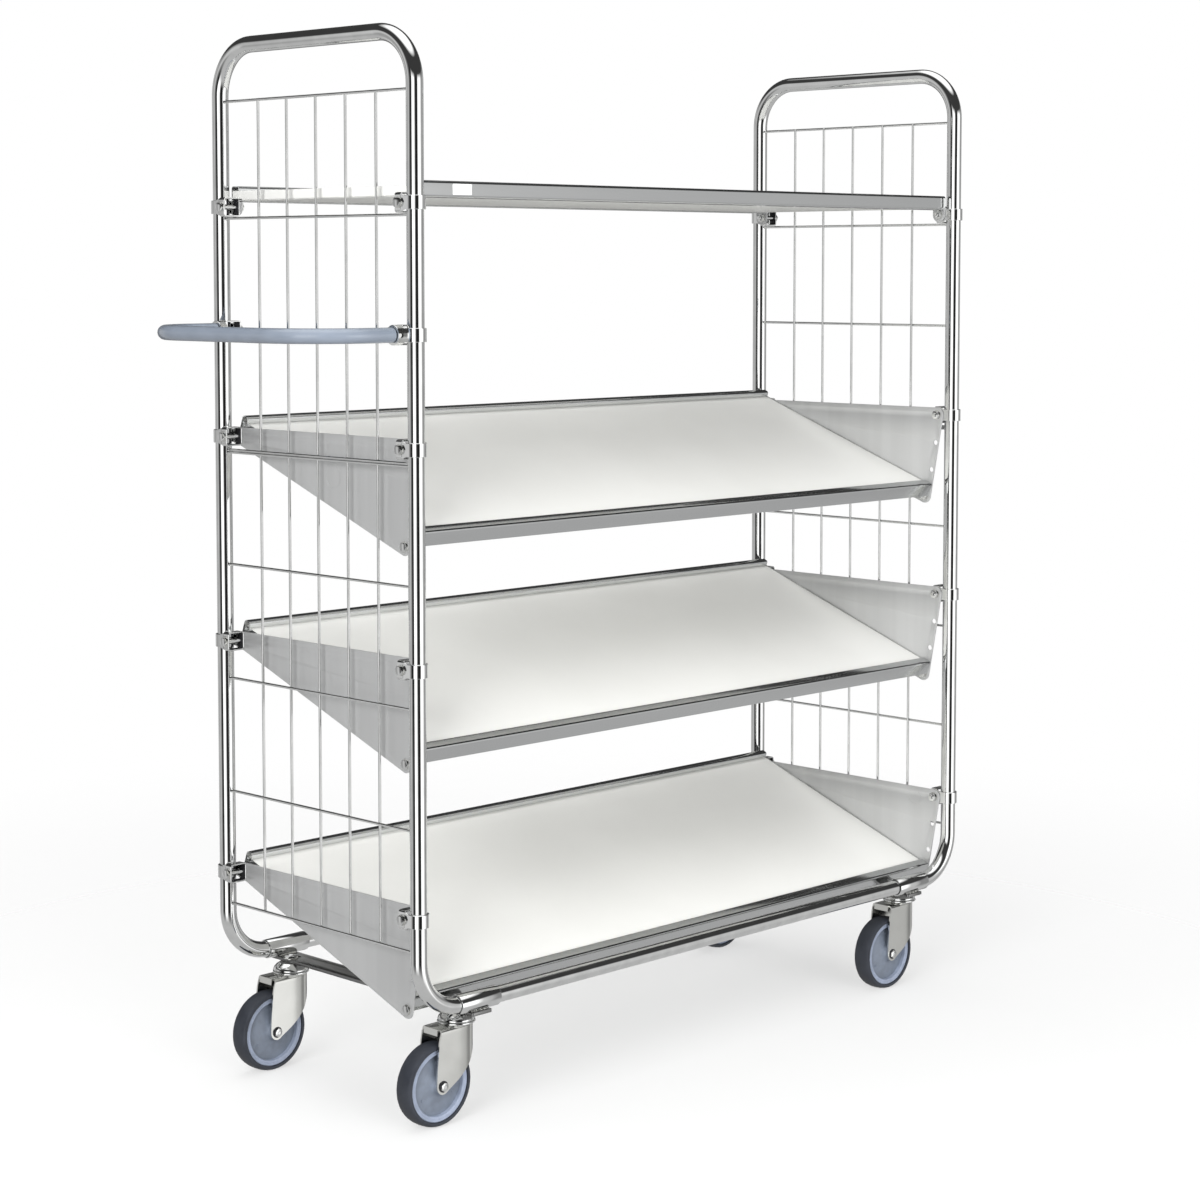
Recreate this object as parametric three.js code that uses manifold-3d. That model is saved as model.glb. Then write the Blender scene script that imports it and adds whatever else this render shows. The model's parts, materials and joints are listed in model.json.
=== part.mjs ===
// Book cart: a shelf trolley with two mesh end frames, one flat shelf, three shelves that
// tilt, a push handle and four swivel castors.
// Millimetres. X runs along the cart, the push handle is at -X. Y runs from the open front
// to the back. Z is up, and the floor is at Z = 0.

import * as THREE from 'three';
import { mergeVertices } from 'three/addons/utils/BufferGeometryUtils.js';
import Module from 'manifold-3d';

const wasm = await Module();
wasm.setup();

// ---------------------------------------------------------------- driving dimensions

const POST_SPAN_X = 1250;        // between the post centres, along the cart
const POST_SPAN_Y = 450;         // between the post centres, front to back
const FRAME_TOP = 1608;          // top of the end frames
const TUBE_R = 12.5;             // end frame and base rail tube
const TUBE_WALL = 1.5;
const FRAME_BEND_R = 76;         // centreline radius of every bend of an end frame
const BASE_Z = 182.5;            // centre of the base rails
const GAP = 0.3;                 // clearance between pieces that touch

const SLEEVE_IN = 475;           // |X| of the sleeve's two ends
const SLEEVE_OUT = 553;
const SLEEVE_R = 14.9;
const SLEEVE_BORE_R = 13.3;
const TUBE_END_X = 514;          // |X| where frame tube and base rail meet in the sleeve

const CROSSBAR_WIDTH = 40;
const CROSSBAR_THICK = 5.2;
const CROSSBAR_BOTTOM = 163.4;
const CROSSBAR_HALF_Y = 238;

const WIRE_R = 2.1;
const WIRE_TOP_Z = 1512;
const WIRE_PITCH_Z = 177.2;
const WIRE_ROWS = 8;
const DOUBLED_ROW = 3;           // this row has a second wire welded below it
const WIRE_PITCH_Y = 68.2;
const WIRE_COLUMNS = 5;
const WIRE_INSET = 3.4;          // upright wires lie this far inside the row wires

const CLAMP_BORE_R = 13.3;
const CLAMP_OUT_R = 15.3;
const CLAMP_BAND_H = 20;
const CLAMP_EAR_H = 29;
const CLAMP_EAR_START = 13.5;    // from the post centre, inward along Y
const CLAMP_EAR_END = 27;
const CLAMP_BOLT_Y = 19;         // bolt line from the post centre, inward along Y
const BOLT_R = 4;
const NUT_R = 7.5;
const HEAD_H = 5.5;
const NUT_H = 6.5;
const PLATE_HEAD_H = 4.5;        // head of the bolt that holds a side plate to its shelf

const TOP_SHELF_CLAMP_Z = 1352;
const TILT_SHELVES = { upper: 1001, middle: 684, lower: 321 };   // clamp bolt heights
const TILT_STEP = 6.8;           // degrees between two holes of a side plate
const TILT_STEPS = 3;
const TILT = TILT_STEP * TILT_STEPS;
const HOLE_R = 4.4;

const PLATE_OUTER_X = 609.4;
const PLATE_THICK = 2;
const PLATE_CORNER_R = 13;
const RAIL_END_X = 607.1;
const RAIL_SHEET = 1.5;
const RAIL_HEIGHT = 24;
const RAIL_FOOT = 28;            // of the top shelf's rails, reaching under the deck
const END_EDGE_LIFT = 3;         // from the top shelf's rail bottom to the edging on its ends
const DECK_THICK = 15;           // a white-faced board
const DECK_TOP = 23;             // deck surface above the line of the bolts
const FRONT_RAIL_U = 421;        // front face of the front rail, from the pivot along the deck
const FRONT_RAIL_TOP = 27;
const FRONT_FLANGE = 18;
const BACK_RAIL_U = -5;          // back face of the back rail
const BACK_RAIL_TOP = 33;
const BACK_FLANGE = 14;

const TOP_SHELF_HALF_Y = 216;
const TOP_SHELF_TOP = 1384;

const HANDLE_Z = 1164.3;
const HANDLE_REACH = 173;        // centreline, outward from the post centres
const HANDLE_BEND_R = 105;
const HANDLE_TUBE_R = 9.2;
const HANDLE_TUBE_WALL = 1.6;
const GRIP_R = 11;
const COLLAR_R = 14.5;
const COLLAR_LENGTH = 12;

const CASTOR_X = 526;
const CASTOR_Y = 195;
const CASTOR_TRAIL = 45;
const WHEEL_R = 62.5;
const TYRE_HALF_W = 16;
const HUB_R = 54.5;
const HUB_BORE_R = 6.4;
const HUB_HALF_LENGTH = 18.2;
const AXLE_R = 5.8;
const AXLE_NUT_R = 8;
const FORK_IN_HALF_Y = 19;
const FORK_SHEET = 2.5;
const FORK_BOSS_R = 12;          // round of a fork leg about the axle
const CROWN_TRAIL = 49;          // from the swivel axis to the crown's trailing edge
const CROWN_TOP = 147.2;
const RACE_R = 28.5;
const RACE_TOP = 155;
const HEAD_DISC_R = 26;
const KINGPIN_R = 6;
const KINGPIN_HEAD_R = 9;
const KINGPIN_HEAD_Z = 140.6;
const KINGPIN_NUT_R = 9.8;
const KINGPIN_NUT_H = 4.6;

const TUBE_SIDES = 12;           // sides of a tube section, outside and in its bore
const BORE_SIDES = 8;
const BOLT_SIDES = 6;
const WHEEL_SIDES = 24;

// ---------------------------------------------------------------- materials

const finish = (color, roughness, metalness) =>
  new THREE.MeshStandardMaterial({ color, roughness, metalness });

const bright_zinc = () => finish(0xc9cccd, 0.22, 1.0);
const galvanised = () => finish(0xacafb0, 0.45, 0.9);
const deck_white = () => finish(0xe2e3de, 0.5, 0.0);
const grip_plastic = () => finish(0x8f99a6, 0.3, 0.0);
const hub_plastic = () => finish(0x747d88, 0.4, 0.0);
const tyre_rubber = () => finish(0x3d3f45, 0.8, 0.0);

// ---------------------------------------------------------------- solids and booleans

function indexed(geometry) {
  const bare = geometry.clone();
  bare.deleteAttribute('normal');
  bare.deleteAttribute('uv');
  const merged = mergeVertices(bare, 1e-4);
  const p = merged.attributes.position.array;
  const index = Array.from(merged.index.array);
  const kept = [];
  let volume = 0;
  for (let i = 0; i < index.length; i += 3) {
    const [a, b, c] = [index[i], index[i + 1], index[i + 2]];
    if (a === b || b === c || a === c) continue;
    kept.push(a, b, c);
    const [A, B, C] = [a, b, c].map((k) => new THREE.Vector3(p[3 * k], p[3 * k + 1], p[3 * k + 2]));
    volume += A.dot(B.cross(C));
  }
  if (volume < 0) {
    for (let i = 0; i < kept.length; i += 3) [kept[i], kept[i + 1]] = [kept[i + 1], kept[i]];
  }
  merged.setIndex(kept);
  return merged;
}

function solid(geometry) {
  const g = indexed(geometry);
  return new wasm.Manifold(new wasm.Mesh({
    numProp: 3,
    vertProperties: new Float32Array(g.attributes.position.array),
    triVerts: new Uint32Array(g.index.array),
  }));
}

function geometryOf(manifold) {
  const mesh = manifold.getMesh();
  const g = new THREE.BufferGeometry();
  g.setAttribute('position', new THREE.BufferAttribute(new Float32Array(mesh.vertProperties), 3));
  g.setIndex(Array.from(mesh.triVerts));
  g.computeVertexNormals();
  return g;
}

const union = (geometries) =>
  geometries.map(solid).reduce((sum, next) => sum.add(next));

const cut = (body, tools) =>
  tools.map(solid).reduce((rest, tool) => rest.subtract(tool), body);

// ---------------------------------------------------------------- basic shapes

// A block given by its lowest and highest corner in any order.
function block(x0, x1, y0, y1, z0, z1) {
  const g = new THREE.BoxGeometry(Math.abs(x1 - x0), Math.abs(y1 - y0), Math.abs(z1 - z0));
  return g.translate((x0 + x1) / 2, (y0 + y1) / 2, (z0 + z1) / 2);
}

// A round or hexagonal bar along an axis from a to b, through the point (p, q) of the other
// two coordinates, taken in the order X, Y, Z.
function bar(axis, a, b, p, q, radius, sides = TUBE_SIDES) {
  const g = new THREE.CylinderGeometry(radius, radius, Math.abs(b - a), sides);
  const middle = (a + b) / 2;
  if (axis === 'x') return g.rotateZ(Math.PI / 2).translate(middle, p, q);
  if (axis === 'y') return g.translate(p, middle, q);
  return g.rotateX(Math.PI / 2).translate(p, q, middle);
}

function ringShape(outer, inner, outer_sides, inner_sides) {
  const circle = (radius, sides) => Array.from({ length: sides }, (_, i) => {
    const turn = (2 * Math.PI * i) / sides;
    return new THREE.Vector2(radius * Math.cos(turn), radius * Math.sin(turn));
  });
  const shape = new THREE.Shape(circle(outer, outer_sides));
  shape.holes.push(new THREE.Path(circle(inner, inner_sides).reverse()));
  return shape;
}

// A straight hollow tube along X.
function tubeX(a, b, y, z, outer, inner) {
  const g = new THREE.ExtrudeGeometry(ringShape(outer, inner, TUBE_SIDES, BORE_SIDES),
    { depth: b - a, bevelEnabled: false, steps: 1 });
  return g.rotateY(Math.PI / 2).translate(a, y, z);
}

// A path of straight runs joined by round bends. Its stations stand only at the ends of the
// straight runs and evenly along the bends.
class BentPath extends THREE.Curve {
  constructor(corners, radius, stepsPerBend) {
    super();
    this.stations = [];
    this.tangents = [];
    const last = corners.length - 1;
    corners.forEach((corner, i) => {
      if (i === 0 || i === last) {
        const other = corners[i === 0 ? 1 : last - 1];
        const way = other.clone().sub(corner).normalize().multiplyScalar(i === 0 ? 1 : -1);
        this.add(corner, way);
        return;
      }
      const before = corners[i - 1].clone().sub(corner).normalize();
      const after = corners[i + 1].clone().sub(corner).normalize();
      const centre = corner.clone().add(before.clone().add(after).multiplyScalar(radius));
      for (let k = 0; k <= stepsPerBend; k += 1) {
        const turn = (Math.PI / 2) * (k / stepsPerBend);
        const out = after.clone().multiplyScalar(-Math.cos(turn))
          .add(before.clone().multiplyScalar(-Math.sin(turn)));
        const way = after.clone().multiplyScalar(Math.sin(turn))
          .add(before.clone().multiplyScalar(-Math.cos(turn)));
        this.add(centre.clone().addScaledVector(out, radius), way);
      }
    });
  }

  add(point, tangent) {
    this.stations.push(point.clone());
    this.tangents.push(tangent.clone());
  }

  get steps() { return this.stations.length - 1; }

  getPointAt(u) { return this.stations[Math.round(u * this.steps)].clone(); }

  getTangentAt(u) { return this.tangents[Math.round(u * this.steps)].clone(); }
}

function bentTube(corners, bendRadius, ring, stepsPerBend) {
  const path = new BentPath(corners, bendRadius, stepsPerBend);
  return new THREE.ExtrudeGeometry(ring,
    { extrudePath: path, steps: path.steps, bevelEnabled: false });
}

// An outline in the Y-Z plane given as [y, z] pairs, made into a sheet between two X.
function sheetX(outline, holes, x0, x1) {
  const vectors = (list) => list.map(([y, z]) => new THREE.Vector2(y, z));
  const shape = new THREE.Shape(vectors(outline));
  holes.forEach((hole) => shape.holes.push(new THREE.Path(vectors(hole))));
  const g = new THREE.ExtrudeGeometry(shape,
    { depth: Math.abs(x1 - x0), bevelEnabled: false, steps: 1 });
  const turn = new THREE.Matrix4().makeBasis(
    new THREE.Vector3(0, 1, 0), new THREE.Vector3(0, 0, 1), new THREE.Vector3(1, 0, 0));
  return g.applyMatrix4(turn).translate(Math.min(x0, x1), 0, 0);
}

function circlePoints([y, z], radius, sides, from = 0, to = 2 * Math.PI) {
  const whole = Math.abs(to - from - 2 * Math.PI) < 1e-9;
  const count = whole ? sides : sides + 1;
  return Array.from({ length: count }, (_, i) => {
    const turn = from + ((to - from) * i) / sides;
    return [y + radius * Math.cos(turn), z + radius * Math.sin(turn)];
  });
}

// ---------------------------------------------------------------- the assembly

const cart = new THREE.Group();

function place(name, shape, material, parent = cart) {
  const geometry = shape instanceof THREE.BufferGeometry ? indexed(shape) : geometryOf(shape);
  geometry.computeVertexNormals();
  const mesh = new THREE.Mesh(geometry, material);
  mesh.name = name;
  parent.add(mesh);
  return mesh;
}

const HALF_X = POST_SPAN_X / 2;
const HALF_Y = POST_SPAN_Y / 2;
const ENDS = { left: -1, right: 1 };
const SIDES = { front: -1, back: 1 };
const BOLT_Y = HALF_Y - CLAMP_BOLT_Y;      // |Y| of every clamp bolt

// ---- end frames

function endFrame(end) {
  const x = end * HALF_X;
  const top = FRAME_TOP - TUBE_R;
  const foot = end * (TUBE_END_X + GAP);
  const corners = [
    [foot, -HALF_Y, BASE_Z], [x, -HALF_Y, BASE_Z], [x, -HALF_Y, top],
    [x, HALF_Y, top], [x, HALF_Y, BASE_Z], [foot, HALF_Y, BASE_Z],
  ].map((c) => new THREE.Vector3(...c));
  const ring = ringShape(TUBE_R, TUBE_R - TUBE_WALL, TUBE_SIDES, BORE_SIDES);
  return bentTube(corners, FRAME_BEND_R, ring, 5);
}

function wireMesh(end) {
  const x = end * HALF_X;
  const reach = HALF_Y - TUBE_R - GAP;
  const upright_x = x - end * WIRE_INSET;
  const rows = Array.from({ length: WIRE_ROWS }, (_, i) => WIRE_TOP_Z - i * WIRE_PITCH_Z);
  rows.push(rows[DOUBLED_ROW] - 2 * WIRE_R + 0.3);
  const bottom = WIRE_TOP_Z - (WIRE_ROWS - 1) * WIRE_PITCH_Z;
  const wires = rows.map((z) => bar('y', -reach, reach, x, z, WIRE_R, 4));
  for (let i = 0; i < WIRE_COLUMNS; i += 1) {
    const y = (i - (WIRE_COLUMNS - 1) / 2) * WIRE_PITCH_Y;
    wires.push(bar('z', bottom - WIRE_R, WIRE_TOP_Z + WIRE_R, upright_x, y, WIRE_R, 4));
  }
  return union(wires);
}

for (const [end, e] of Object.entries(ENDS)) {
  place(`end_frame_${end}`, endFrame(e), bright_zinc());
  place(`wire_mesh_${end}`, wireMesh(e), bright_zinc());
}

// ---- base

function baseRail(side) {
  return tubeX(-TUBE_END_X, TUBE_END_X, side * HALF_Y, BASE_Z, TUBE_R, TUBE_R - TUBE_WALL);
}

function crossbar(end) {
  const [a, b] = [end * SLEEVE_IN, end * SLEEVE_OUT].sort((p, q) => p - q);
  const top = CROSSBAR_BOTTOM + CROSSBAR_THICK;
  const half = CROSSBAR_WIDTH / 2;
  const x = end * CASTOR_X;
  const flat = block(x - half, x + half, -CROSSBAR_HALF_Y, CROSSBAR_HALF_Y, CROSSBAR_BOTTOM, top);
  const sleeves = [-HALF_Y, HALF_Y].map((y) => bar('x', a, b, y, BASE_Z, SLEEVE_R));
  const bores = [-HALF_Y, HALF_Y].map((y) => bar('x', a - 1, b + 1, y, BASE_Z, SLEEVE_BORE_R));
  const stems = [-CASTOR_Y, CASTOR_Y].map((y) =>
    bar('z', CROSSBAR_BOTTOM - 1, top + 1, x, y, KINGPIN_R + 0.6));
  return cut(union([flat, ...sleeves]), [...bores, ...stems]);
}

for (const [side, s] of Object.entries(SIDES)) place(`base_rail_${side}`, baseRail(s), bright_zinc());
for (const [end, e] of Object.entries(ENDS)) place(`base_crossbar_${end}`, crossbar(e), bright_zinc());

// ---- clamps: a strap round the post whose flared ends make a box with one bolt

// What the bolt's inner end does: 'nut' holds a plate that lies on the clamp, 'flush' stops
// in the ear so that the plate can slide past, 'head' has its head inside and reaches out.
function clamp(end, side, z, inner_end) {
  const x = end * HALF_X;
  const y = side * HALF_Y;
  const inward = (d) => y - side * d;
  const arc = circlePoints([0, 0], CLAMP_OUT_R, 6, Math.PI, 2 * Math.PI);
  const bore = circlePoints([0, 0], CLAMP_BORE_R, 6, 2 * Math.PI, Math.PI);
  const outline = [
    [-CLAMP_OUT_R, CLAMP_EAR_START + 0.5], ...arc, [CLAMP_OUT_R, CLAMP_EAR_START + 0.5],
    [CLAMP_BORE_R, CLAMP_EAR_START + 0.5], ...bore, [-CLAMP_BORE_R, CLAMP_EAR_START + 0.5],
  ].map(([p, d]) => new THREE.Vector2(x + p, inward(d)));
  const strap = new THREE.ExtrudeGeometry(new THREE.Shape(outline),
    { depth: CLAMP_BAND_H, bevelEnabled: false, steps: 1 }).translate(0, 0, z - CLAMP_BAND_H / 2);
  const [near, far] = [inward(CLAMP_EAR_START), inward(CLAMP_EAR_END)];
  const half = CLAMP_EAR_H / 2;
  const wall = CLAMP_OUT_R - CLAMP_BORE_R;
  const ears = [
    block(x - CLAMP_OUT_R, x - CLAMP_BORE_R, near, far, z - half, z + half),
    block(x + CLAMP_BORE_R, x + CLAMP_OUT_R, near, far, z - half, z + half),
    block(x - CLAMP_OUT_R, x + CLAMP_OUT_R, near, far, z - half, z - half + wall),
    block(x - CLAMP_OUT_R, x + CLAMP_OUT_R, near, far, z + half - wall, z + half),
  ];
  const bolt_y = inward(CLAMP_BOLT_Y);
  const at = (d) => x + end * d;             // d is measured outward from the post centre
  const ear = CLAMP_OUT_R;
  const plate = HALF_X - PLATE_OUTER_X + PLATE_THICK + GAP;
  const bolt = [];
  if (inner_end === 'nut') {
    bolt.push(bar('x', at(ear - 1), at(-plate - 1), bolt_y, z, BOLT_R, BOLT_SIDES));
    bolt.push(bar('x', at(ear - 0.1), at(ear + HEAD_H), bolt_y, z, NUT_R, BOLT_SIDES));
    bolt.push(bar('x', at(-plate), at(-plate - NUT_H), bolt_y, z, NUT_R, BOLT_SIDES));
  }
  if (inner_end === 'flush') {
    bolt.push(bar('x', at(ear - 1), at(-ear + 0.5), bolt_y, z, BOLT_R, BOLT_SIDES));
    bolt.push(bar('x', at(ear - 0.1), at(ear + HEAD_H), bolt_y, z, NUT_R, BOLT_SIDES));
  }
  if (inner_end === 'head') {
    bolt.push(bar('x', at(ear + COLLAR_LENGTH), at(-ear + 1), bolt_y, z, BOLT_R, BOLT_SIDES));
    bolt.push(bar('x', at(-ear + 0.1), at(-ear - HEAD_H), bolt_y, z, NUT_R, BOLT_SIDES));
  }
  return union([strap, ...ears, ...bolt]);
}

function handleClamp(side) {
  const end = ENDS.left;
  const y = side * BOLT_Y;
  const start = end * (HALF_X + CLAMP_OUT_R - 0.2);
  const stop = end * (HALF_X + CLAMP_OUT_R + COLLAR_LENGTH);
  const collar = cut(solid(bar('x', start, stop, y, HANDLE_Z, COLLAR_R)),
    [bar('x', start - end, stop + end, y, HANDLE_Z, HANDLE_TUBE_R + 2 * GAP)]);
  return clamp(end, side, HANDLE_Z, 'head').add(collar);
}

for (const [end, e] of Object.entries(ENDS)) {
  for (const [side, s] of Object.entries(SIDES)) {
    place(`clamp_top_${end}_${side}`, clamp(e, s, TOP_SHELF_CLAMP_Z, 'nut'), bright_zinc());
    for (const [shelf, z] of Object.entries(TILT_SHELVES)) {
      const inner = side === 'back' ? 'nut' : 'flush';
      place(`clamp_${shelf}_${end}_${side}`, clamp(e, s, z, inner), bright_zinc());
    }
  }
}
for (const [side, s] of Object.entries(SIDES)) {
  place(`handle_clamp_${side}`, handleClamp(s), bright_zinc());
}

// ---- push handle

function handlePath(start) {
  const far = -(HALF_X + HANDLE_REACH);
  return [
    [start, -BOLT_Y, HANDLE_Z], [far, -BOLT_Y, HANDLE_Z], [far, BOLT_Y, HANDLE_Z],
    [start, BOLT_Y, HANDLE_Z],
  ].map((c) => new THREE.Vector3(...c));
}

const handle_start = -(HALF_X + CLAMP_OUT_R + 2 * GAP);
const grip_start = handle_start - COLLAR_LENGTH - GAP;
const handle_ring = ringShape(HANDLE_TUBE_R, HANDLE_TUBE_R - HANDLE_TUBE_WALL, 8, 6);
const grip_ring = ringShape(GRIP_R, HANDLE_TUBE_R + 1.2 * GAP, 8, 8);
place('push_handle', bentTube(handlePath(handle_start), HANDLE_BEND_R, handle_ring, 6),
  bright_zinc());
place('handle_grip', bentTube(handlePath(grip_start), HANDLE_BEND_R, grip_ring, 6),
  grip_plastic());

// ---- top shelf

const top_deck_low = TOP_SHELF_TOP - RAIL_HEIGHT + RAIL_SHEET + GAP;
const top_deck_z = top_deck_low + DECK_THICK;

// A rail along X: a channel whose foot carries the deck's edge and whose lip turns down beside it.
function topShelfRail(side) {
  const t = RAIL_SHEET;
  const lip = TOP_SHELF_TOP - top_deck_z - GAP;
  const section = [
    [0, 0], [FRONT_FLANGE, 0], [FRONT_FLANGE, -lip], [FRONT_FLANGE - t, -lip],
    [FRONT_FLANGE - t, -t], [t, -t], [t, t - RAIL_HEIGHT], [RAIL_FOOT, t - RAIL_HEIGHT],
    [RAIL_FOOT, -RAIL_HEIGHT], [0, -RAIL_HEIGHT],
  ];
  const outline = section.map(([along, up]) =>
    [side * (TOP_SHELF_HALF_Y - along), TOP_SHELF_TOP + up]);
  return sheetX(outline, [], -PLATE_OUTER_X, PLATE_OUTER_X);
}

// The edging on one end of the deck, with a lug for each clamp bolt.
function topShelfEnd(end) {
  const inner = end * (PLATE_OUTER_X - PLATE_THICK);
  const outer = end * PLATE_OUTER_X;
  const half = TOP_SHELF_HALF_Y - GAP;
  const low = TOP_SHELF_TOP - RAIL_HEIGHT + END_EDGE_LIFT;
  const web = block(inner, outer, -half, half, low, top_deck_z);
  const lugs = Object.values(SIDES).map((side) => {
    const round = circlePoints([side * BOLT_Y, TOP_SHELF_CLAMP_Z], PLATE_CORNER_R, 6,
      Math.PI, 2 * Math.PI);
    const [a, b] = [side * BOLT_Y - PLATE_CORNER_R, side * BOLT_Y + PLATE_CORNER_R];
    return sheetX([[b, low + 2], [a, low + 2], ...round], [], inner, outer);
  });
  const holes = Object.values(SIDES).map((side) =>
    bar('x', inner - end, outer + end, side * BOLT_Y, TOP_SHELF_CLAMP_Z, HOLE_R, 8));
  return cut(union([web, ...lugs]), holes);
}

const deck_reach = PLATE_OUTER_X - PLATE_THICK - GAP;
const deck_half_y = TOP_SHELF_HALF_Y - FRONT_FLANGE - GAP;
const top_frame = Object.values(ENDS).reduce((sum, e) => sum.add(topShelfEnd(e)),
  union(Object.values(SIDES).map(topShelfRail)));
place('top_shelf_frame', top_frame, galvanised());
place('top_shelf_deck', block(-deck_reach, deck_reach, -deck_half_y, deck_half_y,
  top_deck_low, top_deck_z), deck_white());

// ---- tilting shelves

// Shelf places are given as u, from the pivot along the deck towards the front, and n, up
// from the line of the bolts. The deck leans down to the front by the tilt.
function shelfPoint(u, n, pivot_z) {
  const lean = THREE.MathUtils.degToRad(TILT);
  return [
    BOLT_Y - u * Math.cos(lean) - n * Math.sin(lean),
    pivot_z - u * Math.sin(lean) + n * Math.cos(lean),
  ];
}

const onShelf = (pivot_z, list) => list.map(([u, n]) => shelfPoint(u, n, pivot_z));

function frontRail(pivot_z) {
  const t = RAIL_SHEET;
  const lip = FRONT_RAIL_TOP - DECK_TOP - GAP;
  const bottom = FRONT_RAIL_TOP - RAIL_HEIGHT;
  const u = FRONT_RAIL_U;
  const section = [
    [u, FRONT_RAIL_TOP], [u - FRONT_FLANGE, FRONT_RAIL_TOP], [u - FRONT_FLANGE, FRONT_RAIL_TOP - lip],
    [u - FRONT_FLANGE + t, FRONT_RAIL_TOP - lip], [u - FRONT_FLANGE + t, FRONT_RAIL_TOP - t],
    [u - t, FRONT_RAIL_TOP - t], [u - t, bottom], [u, bottom],
  ];
  return sheetX(onShelf(pivot_z, section), [], -RAIL_END_X, RAIL_END_X);
}

function backRail(pivot_z) {
  const t = RAIL_SHEET;
  const lip_end = DECK_TOP + GAP;
  const bottom = DECK_TOP - DECK_THICK;
  const u = BACK_RAIL_U;
  const section = [
    [u, BACK_RAIL_TOP], [u + BACK_FLANGE, BACK_RAIL_TOP], [u + BACK_FLANGE, lip_end],
    [u + BACK_FLANGE - t, lip_end], [u + BACK_FLANGE - t, BACK_RAIL_TOP - t],
    [u + t, BACK_RAIL_TOP - t], [u + t, bottom], [u, bottom],
  ];
  return sheetX(onShelf(pivot_z, section), [], -RAIL_END_X, RAIL_END_X);
}

// An edging strip along each end of the board joins the two rails.
function endStrip(pivot_z, end) {
  const [from, to] = [BACK_RAIL_U + 0.5, FRONT_RAIL_U - 0.5];
  const outline = [[from, DECK_TOP], [to, DECK_TOP], [to, DECK_TOP - DECK_THICK],
    [from, DECK_TOP - DECK_THICK]];
  return sheetX(onShelf(pivot_z, outline), [], end * (RAIL_END_X - RAIL_SHEET), end * RAIL_END_X);
}

function tiltDeck(pivot_z) {
  const [from, to] = [BACK_RAIL_U + RAIL_SHEET + GAP, FRONT_RAIL_U - RAIL_SHEET - GAP];
  const outline = [[from, DECK_TOP], [to, DECK_TOP], [to, DECK_TOP - DECK_THICK],
    [from, DECK_TOP - DECK_THICK]];
  const half = RAIL_END_X - RAIL_SHEET - GAP;
  return sheetX(onShelf(pivot_z, outline), [], -half, half);
}

// The side plate is the hull of three equal rounds: about the pivot, the first hole and the
// last hole. The holes lie on an arc about the pivot, one tilt step apart.
function sidePlate(end, pivot_z) {
  const reach = 2 * BOLT_Y;
  const pivot = [BOLT_Y, pivot_z];
  const hole = (step) => {
    const drop = THREE.MathUtils.degToRad(step * TILT_STEP);
    return [BOLT_Y - reach * Math.cos(drop), pivot_z - reach * Math.sin(drop)];
  };
  const lean = THREE.MathUtils.degToRad(TILT);
  const first = hole(0);
  const last = hole(TILT_STEPS);
  const front = Math.atan2(last[1] - first[1], last[0] - first[0]) - Math.PI / 2;
  const up = Math.PI / 2;
  const down = lean - Math.PI / 2;
  const turn = 2 * Math.PI;
  const outline = [
    ...circlePoints(pivot, PLATE_CORNER_R, 6, down, up),
    ...circlePoints(first, PLATE_CORNER_R, 4, up, front + turn),
    ...circlePoints(last, PLATE_CORNER_R, 5, front + turn, down + turn),
  ];
  const inner = end * (PLATE_OUTER_X - PLATE_THICK);
  const outer = end * PLATE_OUTER_X;
  const open = [pivot, hole(1), hole(2)].map((at) => circlePoints(at, HOLE_R, 8).reverse());
  const plate = solid(sheetX(outline, open, inner, outer));
  const bolts = [
    bar('x', inner + end * 0.2, inner - end * NUT_H, ...first, NUT_R, BOLT_SIDES),
    bar('x', inner + end * 0.2, inner - end * NUT_H, ...last, NUT_R, BOLT_SIDES),
    bar('x', outer - end * 0.2, outer + end * PLATE_HEAD_H, ...last, NUT_R, BOLT_SIDES),
  ];
  return bolts.reduce((sum, g) => sum.add(solid(g)), plate);
}

for (const [shelf, z] of Object.entries(TILT_SHELVES)) {
  const strips = Object.values(ENDS).map((e) => endStrip(z, e));
  place(`${shelf}_shelf_frame`, union([frontRail(z), backRail(z), ...strips]), galvanised());
  place(`${shelf}_shelf_deck`, tiltDeck(z), deck_white());
  for (const [end, e] of Object.entries(ENDS)) {
    place(`${shelf}_shelf_plate_${end}`, sidePlate(e, z), galvanised());
  }
}

// ---- castors, each built about its own swivel axis at X = 0, Y = 0, trailing to -X

function castorHead() {
  const bar_top = CROSSBAR_BOTTOM + CROSSBAR_THICK;
  const profile = [
    [0, KINGPIN_HEAD_Z], [KINGPIN_HEAD_R, KINGPIN_HEAD_Z], [KINGPIN_HEAD_R, KINGPIN_HEAD_Z + 3.4],
    [KINGPIN_R, KINGPIN_HEAD_Z + 3.4], [KINGPIN_R, RACE_TOP + GAP],
    [HEAD_DISC_R, RACE_TOP + GAP], [HEAD_DISC_R, CROSSBAR_BOTTOM - GAP],
    [KINGPIN_R, CROSSBAR_BOTTOM - GAP],
    [KINGPIN_R, bar_top + 3], [0, bar_top + 3],
  ].map(([r, z]) => new THREE.Vector2(r, z));
  const turned = new THREE.LatheGeometry(profile, TUBE_SIDES).rotateX(Math.PI / 2);
  const nut = bar('z', bar_top + GAP, bar_top + GAP + KINGPIN_NUT_H, 0, 0, KINGPIN_NUT_R, BOLT_SIDES);
  return union([turned, nut]);
}

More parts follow.
